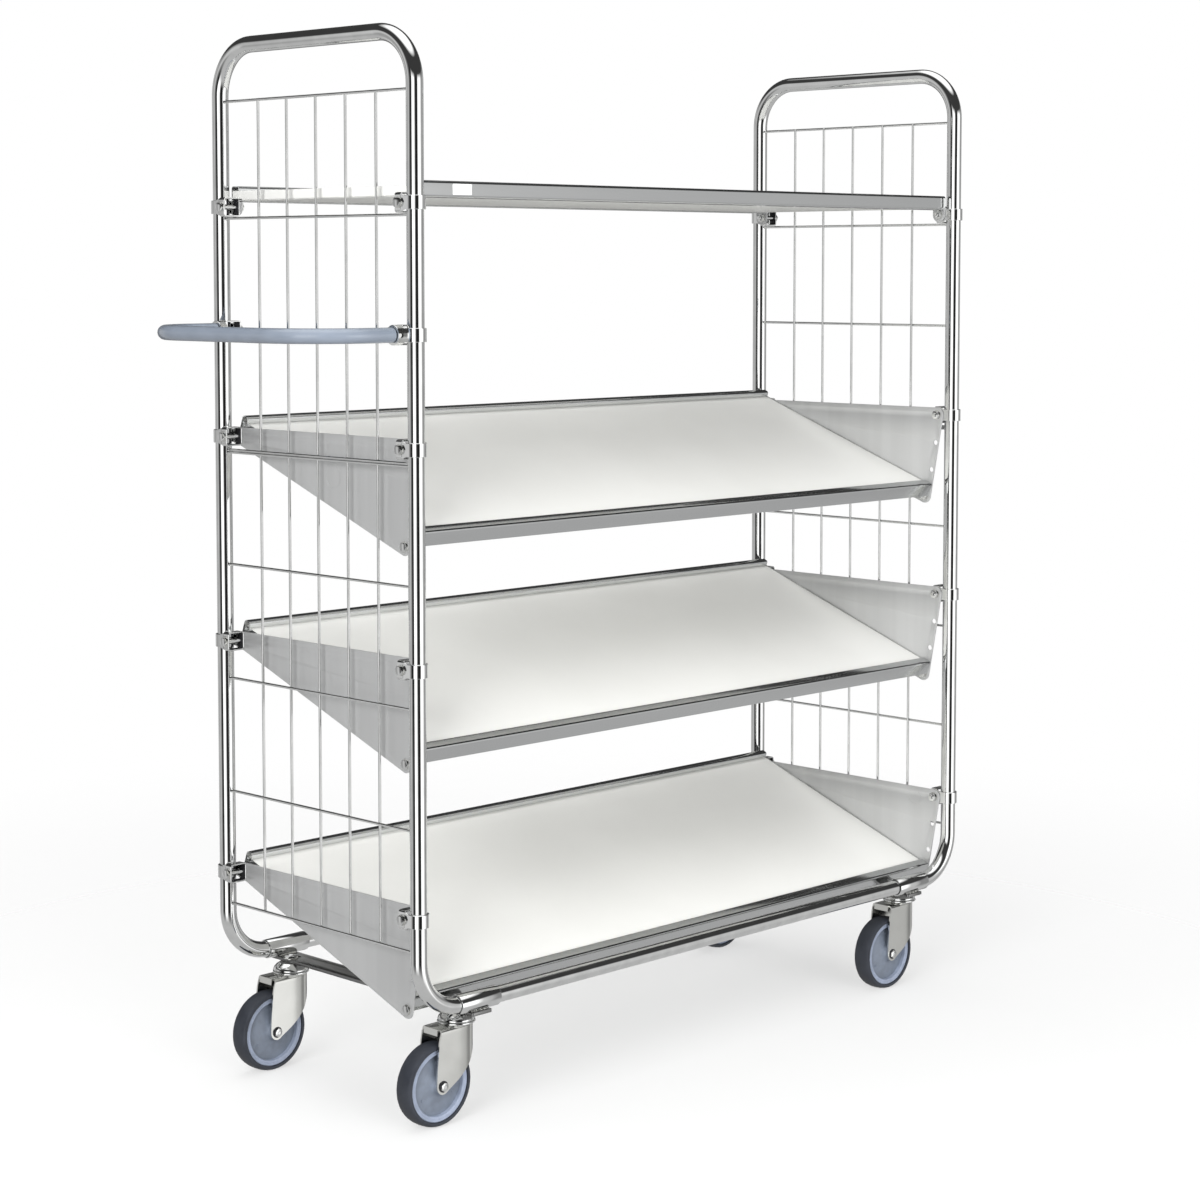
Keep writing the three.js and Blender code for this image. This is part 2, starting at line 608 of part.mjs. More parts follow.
function castorFork() {
  const sheet = FORK_SHEET;
  const inner = FORK_IN_HALF_Y;
  const outer = inner + sheet;
  const axle = [-CASTOR_TRAIL, WHEEL_R];
  const outline = [
    [30, CROWN_TOP], [-46, CROWN_TOP], [-51, CROWN_TOP - 7], [-55, 106], [-57, 76],
    ...circlePoints(axle, FORK_BOSS_R, 4, Math.PI, 1.78 * Math.PI),
    [-12, 69], [7, 86], [20, 103], [27.5, 119],
  ].map(([x, z]) => new THREE.Vector2(x, z));
  const leg = (y0) => new THREE.ExtrudeGeometry(new THREE.Shape(outline),
    { depth: sheet, bevelEnabled: false, steps: 1 }).rotateX(Math.PI / 2).translate(0, y0 + sheet, 0);
  const race = bar('z', CROWN_TOP - 1, RACE_TOP, 0, 0, RACE_R, 16);
  const crown = block(-CROWN_TRAIL, 30, -outer, outer, CROWN_TOP - 3, CROWN_TOP);
  const parts = [leg(inner), leg(-outer), crown, race,
    bar('y', -outer - 3, outer + 3, ...axle, AXLE_R, BOLT_SIDES),
    bar('y', outer - 0.1, outer + 5, ...axle, AXLE_NUT_R, BOLT_SIDES),
    bar('y', -outer + 0.1, -outer - 5, ...axle, AXLE_NUT_R, BOLT_SIDES)];
  const pin_hole = bar('z', CROWN_TOP - 10, RACE_TOP + 1, 0, 0, KINGPIN_R + 0.6);
  return cut(union(parts), [pin_hole]);
}

function turnedWheelPart(profile) {
  const closed = [...profile, profile[0]].map(([r, y]) => new THREE.Vector2(r, y));
  return new THREE.LatheGeometry(closed, WHEEL_SIDES).translate(-CASTOR_TRAIL, 0, WHEEL_R);
}

function castorHub() {
  const [boss, rim] = [HUB_HALF_LENGTH, TYRE_HALF_W - 2.5];
  return turnedWheelPart([
    [HUB_BORE_R, -boss], [12, -boss], [45, -6], [HUB_R, -rim],
    [HUB_R, rim], [45, 6], [12, boss], [HUB_BORE_R, boss],
  ]);
}

function castorTyre() {
  const w = TYRE_HALF_W;
  return turnedWheelPart([
    [HUB_R + GAP, -w + 1], [57.5, -w], [WHEEL_R, -w + 7],
    [WHEEL_R, w - 7], [57.5, w], [HUB_R + GAP, w - 1],
  ]);
}

for (const [end, e] of Object.entries(ENDS)) {
  for (const [side, s] of Object.entries(SIDES)) {
    const castor = new THREE.Group();
    castor.position.set(e * CASTOR_X, s * CASTOR_Y, 0);
    place(`castor_head_${end}_${side}`, castorHead(), bright_zinc(), castor);
    place(`castor_fork_${end}_${side}`, castorFork(), bright_zinc(), castor);
    place(`castor_hub_${end}_${side}`, castorHub(), hub_plastic(), castor);
    place(`castor_tyre_${end}_${side}`, castorTyre(), tyre_rubber(), castor);
    cart.add(castor);
  }
}

// The origin is on the floor under the middle of the whole cart, handle included.
const box = new THREE.Box3().setFromObject(cart);
cart.position.x = -(box.min.x + box.max.x) / 2;

export default cart;
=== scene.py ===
"""Book cart: the fine shapes, materials, light and camera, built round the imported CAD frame.

Metres, +Z up, +X away from the push handle, +Y towards the back.
"""
import json
import math

import bmesh
import bpy
from mathutils import Matrix, Vector


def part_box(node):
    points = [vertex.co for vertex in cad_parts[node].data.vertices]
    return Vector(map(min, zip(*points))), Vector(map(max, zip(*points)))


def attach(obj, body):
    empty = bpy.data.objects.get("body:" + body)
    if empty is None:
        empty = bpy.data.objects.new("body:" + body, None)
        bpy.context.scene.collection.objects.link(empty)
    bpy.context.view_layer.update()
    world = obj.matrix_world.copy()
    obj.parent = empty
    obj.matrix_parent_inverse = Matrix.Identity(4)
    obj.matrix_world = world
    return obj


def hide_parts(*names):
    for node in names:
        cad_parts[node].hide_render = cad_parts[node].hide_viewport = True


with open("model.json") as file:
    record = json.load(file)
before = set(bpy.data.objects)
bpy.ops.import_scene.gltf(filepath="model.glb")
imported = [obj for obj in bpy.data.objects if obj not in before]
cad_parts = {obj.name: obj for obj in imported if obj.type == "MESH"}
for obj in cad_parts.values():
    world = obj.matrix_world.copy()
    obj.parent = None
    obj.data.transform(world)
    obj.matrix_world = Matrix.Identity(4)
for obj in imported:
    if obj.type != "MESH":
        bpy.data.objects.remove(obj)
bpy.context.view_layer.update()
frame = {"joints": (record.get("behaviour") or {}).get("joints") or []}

# ---- sizes of the design, metres

TUBE_R = 0.0125
FRAME_BEND_R = 0.076
TUBE_WALL = 0.0015
SLEEVE_R = 0.0149
SLEEVE_BORE_R = 0.0131
SLEEVE_LENGTH = 0.078
WIRE_R = 0.0021
WIRE_ROWS = 8
DOUBLED_ROW = 3
WIRE_COLUMNS = 5
WIRE_PITCH_Y = 0.0682
WIRE_INSET = 0.0034

CLAMP_BORE_R = 0.0133
CLAMP_OUT_R = 0.0153
CLAMP_BAND_H = 0.020
CLAMP_EAR_H = 0.029
CLAMP_EAR_START = 0.0135
CLAMP_EAR_END = 0.027
CLAMP_BOLT_Y = 0.019
BOLT_R = 0.004
NUT_FLATS = 0.013

PIECE_GAP = 0.0003
BAR_THICK = 0.0052
BAR_HALF_X = 0.020
WELD_R = 0.0026
WELD_HALF_X = 0.017
KINGPIN_R = 0.0062
KINGPIN_HOLE_R = 0.0066
CROWN_HOLE_R = 0.0068

RAIL_SHEET = 0.0015
RAIL_FOLD_R = 0.0036
TOP_RAIL_FOLD_R = 0.0034
RAIL_FOOT = 0.028
END_EDGE_LIFT = 0.003
EDGE_TRIM_R = 0.0017
DECK_TOP = 0.023
DECK_THICK = 0.015
RAIL_HEIGHT = 0.024
FRONT_RAIL_U = 0.421
FRONT_RAIL_TOP = 0.027
FRONT_FLANGE = 0.018
BACK_RAIL_U = -0.005
BACK_RAIL_TOP = 0.033
BACK_FLANGE = 0.014
PLATE_THICK = 0.002
PLATE_CORNER_R = 0.013
HOLE_R = 0.0044
TILT_STEP = 6.8
TILT_STEPS = 3

GRIP_R = 0.011
HANDLE_BEND_R = 0.105
COLLAR_R = 0.0145
COLLAR_LENGTH = 0.012

WHEEL_R = 0.0625
TYRE_HALF_W = 0.016
HUB_R = 0.0545
FORK_IN_HALF_Y = 0.019
FORK_SHEET = 0.0025
FORK_CURVE_START = -0.022
FORK_CURVE_REACH = 0.050
FORK_CURVE_DROP = 0.018
FORK_CURVE_POWER = 4.3
CROWN_TOP = 0.1472
FORK_BEND = 0.0045
FORK_BOSS_R = 0.012
FORK_FRONT_U = 0.0272
CROWN_BACK_U = -0.0490
CASTOR_TRAIL = 0.045

ENDS = {"left": -1, "right": 1}
SIDES = {"front": -1, "back": 1}
SHELVES = ("upper", "middle", "lower")
JOINTS = {joint["name"]: joint for joint in frame["joints"]}

# ---- node materials


def add_node(tree, kind, values=None):
    """A new shader node with some of its inputs set."""
    node = tree.nodes.new("ShaderNode" + kind)
    for socket, value in (values or {}).items():
        node.inputs[socket].default_value = value
    return node


def join(source, output, target, socket):
    """Links an output of one node to an input of another."""
    source.id_data.links.new(source.outputs[output], target.inputs[socket])


class Surface:
    """A material with one Principled shader, which noises may vary."""

    def __init__(self, name, color, roughness, metallic=0.0):
        self.material = bpy.data.materials.new(name)
        self.material.use_nodes = True
        self.tree = self.material.node_tree
        self.shader = self.tree.nodes["Principled BSDF"]
        self.set("Base Color", (*color, 1))
        self.set("Roughness", roughness)
        self.set("Metallic", metallic)

    def set(self, socket, value):
        self.shader.inputs[socket].default_value = value

    def noise(self, scale, stretch=(1, 1, 1), detail=4.0):
        """A noise over the object's own coordinates."""
        place = add_node(self.tree, "TexCoord")
        mapping = add_node(self.tree, "Mapping", {"Scale": stretch})
        noise = add_node(self.tree, "TexNoise", {"Scale": scale, "Detail": detail})
        join(place, "Object", mapping, "Vector")
        join(mapping, "Vector", noise, "Vector")
        return noise

    def roughen(self, noise, low, high):
        """Lets a noise move the roughness between low and high."""
        spread = add_node(self.tree, "MapRange", {"From Min": 0.3, "From Max": 0.7})
        spread.inputs["To Min"].default_value = low
        spread.inputs["To Max"].default_value = high
        join(noise, "Fac", spread, "Value")
        join(spread, "Result", self.shader, "Roughness")

    def tint(self, noise, dark, light):
        """Lets a noise move the colour between two near colours."""
        ramp = add_node(self.tree, "ValToRGB")
        for stop, at, color in zip(ramp.color_ramp.elements, (0.35, 0.65), (dark, light)):
            stop.position = at
            stop.color = (*color, 1)
        join(noise, "Fac", ramp, "Fac")
        join(ramp, "Color", self.shader, "Base Color")

    def vary(self, noise, dark, light, smooth, rough):
        self.tint(noise, dark, light)
        self.roughen(noise, smooth, rough)

    def bump(self, noise, distance, strength):
        relief = add_node(self.tree, "Bump", {"Distance": distance, "Strength": strength})
        join(noise, "Fac", relief, "Height")
        join(relief, "Normal", self.shader, "Normal")

    def grain(self, scale, distance, strength):
        self.bump(self.noise(scale, detail=2.0), distance, strength)


def bright_zinc():
    """Bright zinc plating: a clear mirror with cloudy patches and a faint drawn grain."""
    surface = Surface("bright_zinc", (0.80, 0.81, 0.81), 0.06, 1.0)
    patches = surface.noise(38.0)
    surface.vary(patches, (0.80, 0.805, 0.80), (0.88, 0.885, 0.88), 0.035, 0.085)
    surface.grain(260.0, 0.00002, 0.15)
    return surface.material


def satin_zinc():
    """Zinc plating on pressed steel, a little duller than on the drawn tubes."""
    surface = Surface("satin_zinc", (0.78, 0.78, 0.75), 0.15, 1.0)
    patches = surface.noise(25.0, detail=2.0)
    surface.vary(patches, (0.76, 0.76, 0.73), (0.80, 0.80, 0.77), 0.12, 0.18)
    surface.grain(300.0, 0.00001, 0.1)
    return surface.material


def bar_zinc():
    """Duller, darker zinc of the flat crossbars."""
    surface = Surface("bar_zinc", (0.30, 0.30, 0.30), 0.3, 1.0)
    mill = surface.noise(40.0, stretch=(1.0, 0.1, 1.0), detail=3.0)
    surface.vary(mill, (0.26, 0.26, 0.26), (0.34, 0.34, 0.335), 0.24, 0.34)
    surface.grain(900.0, 0.00002, 0.3)
    return surface.material


def clamp_inside():
    """Painted shade: a dark, dull metal that stands for the shade inside the clamps and round the axle
    nuts.
    """
    surface = Surface("clamp_inside", (0.045, 0.045, 0.05), 0.4, 0.6)
    surface.roughen(surface.noise(200.0), 0.35, 0.5)
    return surface.material


def rail_zinc():
    """Zinc sheet folded into rails: smoother than the side plates, so it mirrors softly."""
    surface = Surface("rail_zinc", (0.70, 0.71, 0.71), 0.14, 1.0)
    rolling = surface.noise(12.0, stretch=(0.06, 1.0, 1.0), detail=3.0)
    surface.vary(rolling, (0.67, 0.68, 0.68), (0.72, 0.73, 0.73), 0.11, 0.17)
    surface.grain(1200.0, 0.00001, 0.1)
    return surface.material


def galvanised():
    """Matt galvanised sheet: long soft rolling marks and a fine tooth."""
    surface = Surface("galvanised", (0.62, 0.63, 0.63), 0.46, 0.6)
    rolling = surface.noise(30.0, stretch=(0.6, 1.0, 0.05), detail=3.0)
    surface.vary(rolling, (0.60, 0.605, 0.605), (0.64, 0.645, 0.645), 0.38, 0.44)
    surface.grain(1500.0, 0.00003, 0.5)
    return surface.material


def deck_white():
    """Off-white melamine face with a fine pearl texture."""
    surface = Surface("deck_white", (0.80, 0.80, 0.775), 0.42)
    surface.set("Specular IOR Level", 0.5)
    clouds = surface.noise(5.0)
    surface.vary(clouds, (0.785, 0.785, 0.76), (0.81, 0.81, 0.785), 0.38, 0.46)
    surface.grain(1800.0, 0.00003, 0.4)
    return surface.material


def grip_plastic():
    """Glossy grey-blue sleeve, slightly wavy along its length."""
    surface = Surface("grip_plastic", (0.205, 0.235, 0.285), 0.2)
    surface.set("Coat Weight", 0.4)
    surface.set("Coat Roughness", 0.08)
    waves = surface.noise(26.0, detail=1.0)
    surface.vary(waves, (0.195, 0.225, 0.272), (0.215, 0.247, 0.298), 0.16, 0.26)
    surface.bump(waves, 0.0006, 0.3)
    return surface.material


def hub_plastic(name="hub_plastic", color=(0.155, 0.18, 0.225)):
    """Moulded grey-blue plastic with flow marks."""
    surface = Surface(name, color, 0.36)
    flow = surface.noise(70.0, detail=3.0)
    surface.vary(flow, [c * 0.9 for c in color], [min(1.0, c * 1.1) for c in color], 0.30, 0.44)
    surface.grain(900.0, 0.00004, 0.3)
    return surface.material


def tyre_rubber():
    """Dark blue-grey rubber, matt, with a little dust."""
    surface = Surface("tyre_rubber", (0.028, 0.031, 0.040), 0.55)
    dust = surface.noise(45.0)
    surface.vary(dust, (0.024, 0.027, 0.035), (0.034, 0.038, 0.048), 0.48, 0.64)
    surface.grain(1400.0, 0.00005, 0.5)
    return surface.material


def label_paper():
    surface = Surface("label_paper", (0.86, 0.87, 0.86), 0.35)
    fibres = surface.noise(500.0, detail=2.0)
    surface.roughen(fibres, 0.3, 0.42)
    surface.bump(fibres, 0.00002, 0.3)
    return surface.material


ZINC = bright_zinc()
SATIN = satin_zinc()
BAR = bar_zinc()
# a dark metal for painted shade inside the clamps and round the axle nuts
PAINTED_SHADE = clamp_inside()
RAIL = rail_zinc()
SHEET = galvanised()
WHITE = deck_white()
GRIP = grip_plastic()
HUB = hub_plastic()
# The rim ring is a lighter copy of the hub plastic: painted light on the raised ring.
HUB_RIM_PAINTED_LIGHT = hub_plastic("hub_rim_plastic", (0.27, 0.31, 0.40))
TYRE = tyre_rubber()
LABEL = label_paper()

# ---- shapes as (points, faces)


def rounded(points, radius, steps=5, closed=True):
    """A flat outline with every corner made into an arc where its edges leave room."""
    points = [Vector(p) for p in points]
    last = len(points) - 1
    result = []
    for i, corner in enumerate(points):
        if not closed and i in (0, last):
            result.append(corner)
            continue
        before = points[i - 1] - corner
        after = points[(i + 1) % len(points)] - corner
        half = before.angle(after) / 2
        if half > math.radians(86):
            result.append(corner)
            continue
        reach = min(radius / math.tan(half), before.length * 0.48, after.length * 0.48)
        arc_r = reach * math.tan(half)
        middle = (before.normalized() + after.normalized()).normalized()
        centre = corner + middle * (arc_r / math.sin(half))
        start = corner + before.normalized() * reach - centre
        end = corner + after.normalized() * reach - centre
        first = math.atan2(start.y, start.x)
        turn = math.atan2(end.y, end.x) - first
        turn = (turn + math.pi) % (2 * math.pi) - math.pi
        for k in range(steps + 1):
            angle = first + turn * k / steps
            result.append(centre + Vector((math.cos(angle), math.sin(angle))) * arc_r)
    return result


def rectangle(x0, y0, x1, y1):
    return [(x0, y0), (x1, y0), (x1, y1), (x0, y1)]


def sheet_outline(line, thickness):
    """The closed outline of a sheet of even thickness along a flat open line."""
    left, right = [], []
    for i, point in enumerate(line):
        ways = []
        if i > 0:
            ways.append((point - line[i - 1]).normalized())
        if i < len(line) - 1:
            ways.append((line[i + 1] - point).normalized())
        way = sum(ways, Vector((0, 0))).normalized()
        side = Vector((-way.y, way.x)) / max(0.4, way.dot(ways[0])) * thickness / 2
        left.append(point + side)
        right.append(point - side)
    return left + right[::-1]


def turns(count):
    """Even angles round a full turn."""
    return [2 * math.pi * i / count for i in range(count)]


def arc(centre, radius, start, end, steps):
    """Points of a flat arc, angles in degrees."""
    result = []
    for k in range(steps + 1):
        angle = math.radians(start + (end - start) * k / steps)
        result.append(Vector(centre) + Vector((math.cos(angle), math.sin(angle))) * radius)
    return result


def round_hole(centre, radius):
    """The outline of a hole, without its first point again at the end."""
    return arc(centre, radius, 0, 345, 23)


def loft(rings, closed=False):
    """Joins rings of equally many points by quads, and caps both ends unless closed."""
    count = len(rings[0])
    points = [p for ring in rings for p in ring]
    faces = []
    for r in range(len(rings) if closed else len(rings) - 1):
        a, b = r * count, ((r + 1) % len(rings)) * count
        for i in range(count):
            j = (i + 1) % count
            faces.append((a + i, a + j, b + j, b + i))
    if not closed:
        faces.append(tuple(range(count))[::-1])
        faces.append(tuple(range((len(rings) - 1) * count, len(rings) * count)))
    return points, faces


def shifted(place, z):
    """The place moved along its own Z axis."""
    return place @ Matrix.Translation((0, 0, z))


def prism(outline, place, depth):
    """A flat outline pushed along its own +Z by depth."""
    low = [place @ Vector((p[0], p[1], 0)) for p in outline]
    high = [place @ Vector((p[0], p[1], depth)) for p in outline]
    return loft([low, high])


def lathe(profile, place, sides=48, closed=False):
    """(radius, height) pairs turned about the place's own Z axis."""
    rings = []
    for r, height in profile:
        rings.append([place @ Vector((r * math.cos(t), r * math.sin(t), height))
                      for t in turns(sides)])
    return loft(rings, closed)


def plate(outline, holes, thickness, place, edge=0.0003):
    """A flat plate with holes and broken edges, with its middle plane on the place's XY plane."""
    curve = bpy.data.curves.new("plate", "CURVE")
    curve.dimensions = "2D"
    curve.fill_mode = "BOTH"
    for loop in [outline, *holes]:
        spline = curve.splines.new("POLY")
        spline.points.add(len(loop) - 1)
        for point, at in zip(spline.points, loop):
            point.co = (at[0], at[1], 0, 1)
        spline.use_cyclic_u = True
    curve.extrude = thickness / 2 - edge
    curve.bevel_depth = edge
    curve.bevel_resolution = 1
    curve.offset = -edge
    holder = bpy.data.objects.new("plate", curve)
    mesh = bpy.data.meshes.new_from_object(holder)
    shape = [place @ v.co for v in mesh.vertices], [tuple(f.vertices) for f in mesh.polygons]
    bpy.data.objects.remove(holder)
    bpy.data.curves.remove(curve)
    bpy.data.meshes.remove(mesh)
    return shape


def bent_path(corners, radius, steps=16):
    """Points and directions along straight runs joined by square bends."""
    corners = [Vector(c) for c in corners]
    path = [(corners[0], (corners[1] - corners[0]).normalized())]
    for before, corner, after in zip(corners, corners[1:], corners[2:]):
        back = (before - corner).normalized()
        ahead = (after - corner).normalized()
        centre = corner + (back + ahead) * radius
        for k in range(steps + 1):
            turn = math.pi / 2 * k / steps
            out = -ahead * math.cos(turn) - back * math.sin(turn)
            way = ahead * math.sin(turn) - back * math.cos(turn)
            path.append((centre + out * radius, way))
    path.append((corners[-1], (corners[-1] - corners[-2]).normalized()))
    return path


def tube(path, radius, wall=0.0, sides=32, lip=0.0004, mouth=0.012):
    """A round tube along a path. With a wall its mouths are open and dark inside."""
    normal = path[0][1].orthogonal().normalized()
    frames = []
    before = path[0][1]
    for point, way in path:
        normal = before.rotation_difference(way) @ normal
        before = way
        frames.append((point, way, normal, way.cross(normal)))

    def ring(where, r, shift=0.0):
        point, way, n, b = where
        return [point + way * shift + n * math.cos(t) * r + b * math.sin(t) * r
                for t in turns(sides)]

    rings = [ring(where, radius) for where in frames[1:-1]]
    head, tail = frames[0], frames[-1]
    bore = radius - wall
    start = [ring(head, radius - lip), ring(head, radius, lip)]
    end = [ring(tail, radius, -lip), ring(tail, radius - lip)]
    if wall:
        start = [ring(head, bore, mouth), ring(head, bore)] + start
        end = end + [ring(tail, bore), ring(tail, bore, -mouth)]
    return loft(start + rings + end)


def rod(start, end, radius, sides=16, dome=0.0008):
    """A straight wire with slightly domed ends."""
    start, end = Vector(start), Vector(end)
    way = (end - start).normalized()
    path = [(start, way), (start + way * dome, way), (end - way * dome, way), (end, way)]
    return tube(path, radius, sides=sides, lip=dome * 0.9)


def hexagon_radius(flats, angle):
    """Distance from the middle to the edge of a hexagon."""
    within = (angle + math.pi / 6) % (math.pi / 3) - math.pi / 6
    return flats / 2 / math.cos(within)


def hexagon(flats, height, place, steps=48, both=False):
    """A hexagon nut or head, its corners turned off by a 30 degree chamfer at one or both ends."""
    flat_r = flats / 2 * 0.96
    drop = math.tan(math.radians(30))
    rings = []
    for cornered, level, slope in ((False, 0.0, 0), (True, 0.0, int(both)),
                                   (True, height, -1), (False, height, 0)):
        ring = []
        for angle in turns(steps):
            r = hexagon_radius(flats, angle) if cornered else flat_r
            z = level + slope * (r - flat_r) * drop
            ring.append(place @ Vector((r * math.cos(angle), r * math.sin(angle), z)))
        rings.append(ring)
    return loft(rings)


def mirrored(profile):
    """A profile of (radius, height) pairs, and back again on the other side."""
    return profile + [(r, -h) for r, h in reversed(profile)]


def washer(place, outer=0.0082, inner=0.0042, height=0.0014):
    edge = 0.0003
    profile = [(inner, 0), (outer - edge, 0), (outer, edge), (outer, height - edge),
               (outer - edge, height), (inner, height)]
    return lathe(profile, place, 40, closed=True)


def thread(place, length, radius=BOLT_R, pitch=0.00125):
    """A bolt's shank with its thread as even ridges, and a broken end."""
    root = radius * 0.84
    profile = [(root, 0)]
    for k in range(max(1, int(length / pitch) - 1)):
        profile += [(root, k * pitch + 0.1 * pitch), (radius, (k + 0.5) * pitch),
                    (root, (k + 0.9) * pitch)]
    profile += [(root, length - 0.0006), (radius * 0.7, length)]
    return lathe(profile, place, 32)


def dimpled_head(place):
    """The grade ring on top of a bolt head."""
    return lathe([(0.0, 0.0), (0.0034, 0.0), (0.0030, 0.00025), (0.0, 0.00025)], place, 32)


# ---- pieces


def new_object(name, data):
    """A new object in the scene."""
    made = bpy.data.objects.new(name, data)
    bpy.context.scene.collection.objects.link(made)
    return made


class Piece:
    """One object, collected from closed shells that may differ in material."""

    def __init__(self, name):
        self.name = name
        self.points, self.faces, self.indices, self.materials = [], [], [], []

    def add(self, shape, material):
        if material not in self.materials:
            self.materials.append(material)
        points, faces = shape
        base = len(self.points)
        self.points += [tuple(p) for p in points]
        self.faces += [tuple(base + i for i in face) for face in faces]
        self.indices += [self.materials.index(material)] * len(faces)

    def make(self, body, replaces=(), sharp=32):
        mesh = bpy.data.meshes.new(self.name)
        mesh.from_pydata(self.points, [], self.faces)
        for material in self.materials:
            mesh.materials.append(material)
        mesh.polygons.foreach_set("material_index", self.indices)
        work = bmesh.new()
        work.from_mesh(mesh)
        bmesh.ops.remove_doubles(work, verts=work.verts, dist=2e-6)
        bmesh.ops.recalc_face_normals(work, faces=work.faces)
        work.to_mesh(mesh)
        work.free()
        mesh.shade_smooth()
        mesh.set_sharp_from_angle(angle=math.radians(sharp))
        piece = new_object(self.name, mesh)
        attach(piece, body)
        if replaces:
            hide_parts(*replaces)
        return piece


def break_edges(piece, width=0.0003):
    """Small round edges that catch the light."""
    modifier = piece.modifiers.new("broken_edges", "BEVEL")
    modifier.width = width
    modifier.segments = 2
    modifier.limit_method = "ANGLE"
    modifier.angle_limit = math.radians(40)


def along(axis, at, sign=1):
    """A place whose own Z points along an axis of the row frame, at a point."""
    turn = {"x": Matrix.Rotation(math.radians(90) * sign, 4, "Y"),
            "y": Matrix.Rotation(math.radians(-90) * sign, 4, "X"),
            "z": Matrix.Rotation(0 if sign > 0 else math.pi, 4, "X")}[axis]
    return Matrix.Translation(Vector(at)) @ turn


def yz_plane(x, sign=1):
    """A place that takes (y, z) outlines to the plane at x, with depth along sign X."""
    return Matrix(((0, 0, sign, x), (1, 0, 0, 0), (0, 1, 0, 0), (0, 0, 0, 1)))


# ---- places, read off the frame

left_low, left_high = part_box("end_frame_left")
right_low, right_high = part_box("end_frame_right")
POST_X = {"left": left_low.x + TUBE_R, "right": right_high.x - TUBE_R}
FOOT_X = {"left": left_high.x, "right": right_low.x}
POST_Y = left_high.y - TUBE_R
FRAME_TOP = left_high.z
BASE_Z = left_low.z + TUBE_R
BOLT_Y = POST_Y - CLAMP_BOLT_Y
TOP_TAB_IN = POST_X["right"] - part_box("top_shelf_frame")[1].x + PLATE_THICK
PLATE_IN = POST_X["right"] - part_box("upper_shelf_frame")[1].x - PIECE_GAP


def middle(node):
    low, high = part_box(node)
    return (low + high) / 2


# ---- end frames and wires


def end_frame(end):
    x, foot = POST_X[end], FOOT_X[end]
    top = FRAME_TOP - TUBE_R
    corners = [(foot, -POST_Y, BASE_Z), (x, -POST_Y, BASE_Z), (x, -POST_Y, top),
               (x, POST_Y, top), (x, POST_Y, BASE_Z), (foot, POST_Y, BASE_Z)]
    piece = Piece(f"end_frame_tube_{end}")
    piece.add(tube(bent_path(corners, FRAME_BEND_R, 20), TUBE_R, TUBE_WALL, sides=48), ZINC)
    piece.make("root", [f"end_frame_{end}"])


def weld_collar(at, sign):
    """The little bead where a wire runs into a post."""
    profile = [(0.0, -0.001), (0.0036, -0.001), (0.0034, 0.0004), (0.0027, 0.0014),
               (0.0022, 0.0026), (0.0, 0.0026)]
    return lathe(profile, along("y", at, sign), 20)


def wire_mesh(end):
    sign = ENDS[end]
    low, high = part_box(f"wire_mesh_{end}")
    top, bottom = high.z - WIRE_R, low.z + WIRE_R
    x = POST_X[end]
    pitch = (top - bottom) / (WIRE_ROWS - 1)
    rows = [top - i * pitch for i in range(WIRE_ROWS)]
    rows.append(rows[DOUBLED_ROW] - 2 * WIRE_R + 0.0003)
    reach = POST_Y - TUBE_R
    piece = Piece(f"wires_{end}")
    for z in rows:
        piece.add(rod((x, -reach - 0.001, z), (x, reach + 0.001, z), WIRE_R), ZINC)
        for side in SIDES.values():
            piece.add(weld_collar((x, side * reach, z), -side), ZINC)
    for i in range(WIRE_COLUMNS):
        y = (i - (WIRE_COLUMNS - 1) / 2) * WIRE_PITCH_Y
        inset = x - sign * WIRE_INSET
        piece.add(rod((inset, y, low.z), (inset, y, high.z), WIRE_R), ZINC)
    piece.make("root", [f"wire_mesh_{end}"])


# ---- base


def sleeve(x, y):
    """A short socket tube with thick round lips, open at both ends."""
    lip = 0.0007
    half = SLEEVE_LENGTH / 2
    profile = [(SLEEVE_BORE_R, -half + lip), (SLEEVE_BORE_R + lip * 0.4, -half + lip * 0.3),
               ((SLEEVE_BORE_R + SLEEVE_R) / 2, -half), (SLEEVE_R - lip * 0.3, -half + lip * 0.4),
               (SLEEVE_R, -half + lip)]
    return lathe(mirrored(profile), along("x", (x, y, BASE_Z)), 56, closed=True)


def weld_bead(start, end, radius, sides=12):
    """A weld seam: a thin rod that swells and narrows evenly."""
    start, end = Vector(start), Vector(end)
    way = (end - start).normalized()
    side, up = way.orthogonal().normalized(), way.cross(way.orthogonal().normalized())
    count = 40
    rings = []
    for k in range(count + 1):
        swell = math.sin(math.pi * k / count) ** 0.4 * (1 + 0.14 * math.sin(k * 1.9))
        r = max(radius * 0.15, radius * swell)
        centre = start.lerp(end, k / count)
        rings.append([centre + (side * math.cos(t) + up * math.sin(t)) * r
                      for t in turns(sides)])
    return loft(rings)


def crossbar(end):
    low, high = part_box(f"base_crossbar_{end}")
    x = (low.x + high.x) / 2
    half, end_y = BAR_HALF_X, high.y
    corners = rectangle(-half, -end_y, half, end_y)
    swivel_y = JOINTS[f"castor_swivel_{end}_back"]["pos_m"][1]
    holes = [round_hole((0, y), KINGPIN_HOLE_R) for y in (-swivel_y, swivel_y)]
    place = Matrix.Translation((x, 0, low.z + BAR_THICK / 2))
    piece = Piece(f"crossbar_{end}")
    piece.add(plate(rounded(corners, 0.004), holes, BAR_THICK, place, 0.0006), BAR)
    z = low.z + BAR_THICK + 0.0004
    for y in (-POST_Y, POST_Y):
        piece.add(sleeve(x, y), ZINC)
        for side in (-1, 1):
            at_y = y + side * 0.0072
            start, stop = (x - WELD_HALF_X, at_y, z), (x + WELD_HALF_X, at_y, z)
            piece.add(weld_bead(start, stop, WELD_R), SATIN)
    piece.make("root", [f"base_crossbar_{end}"])


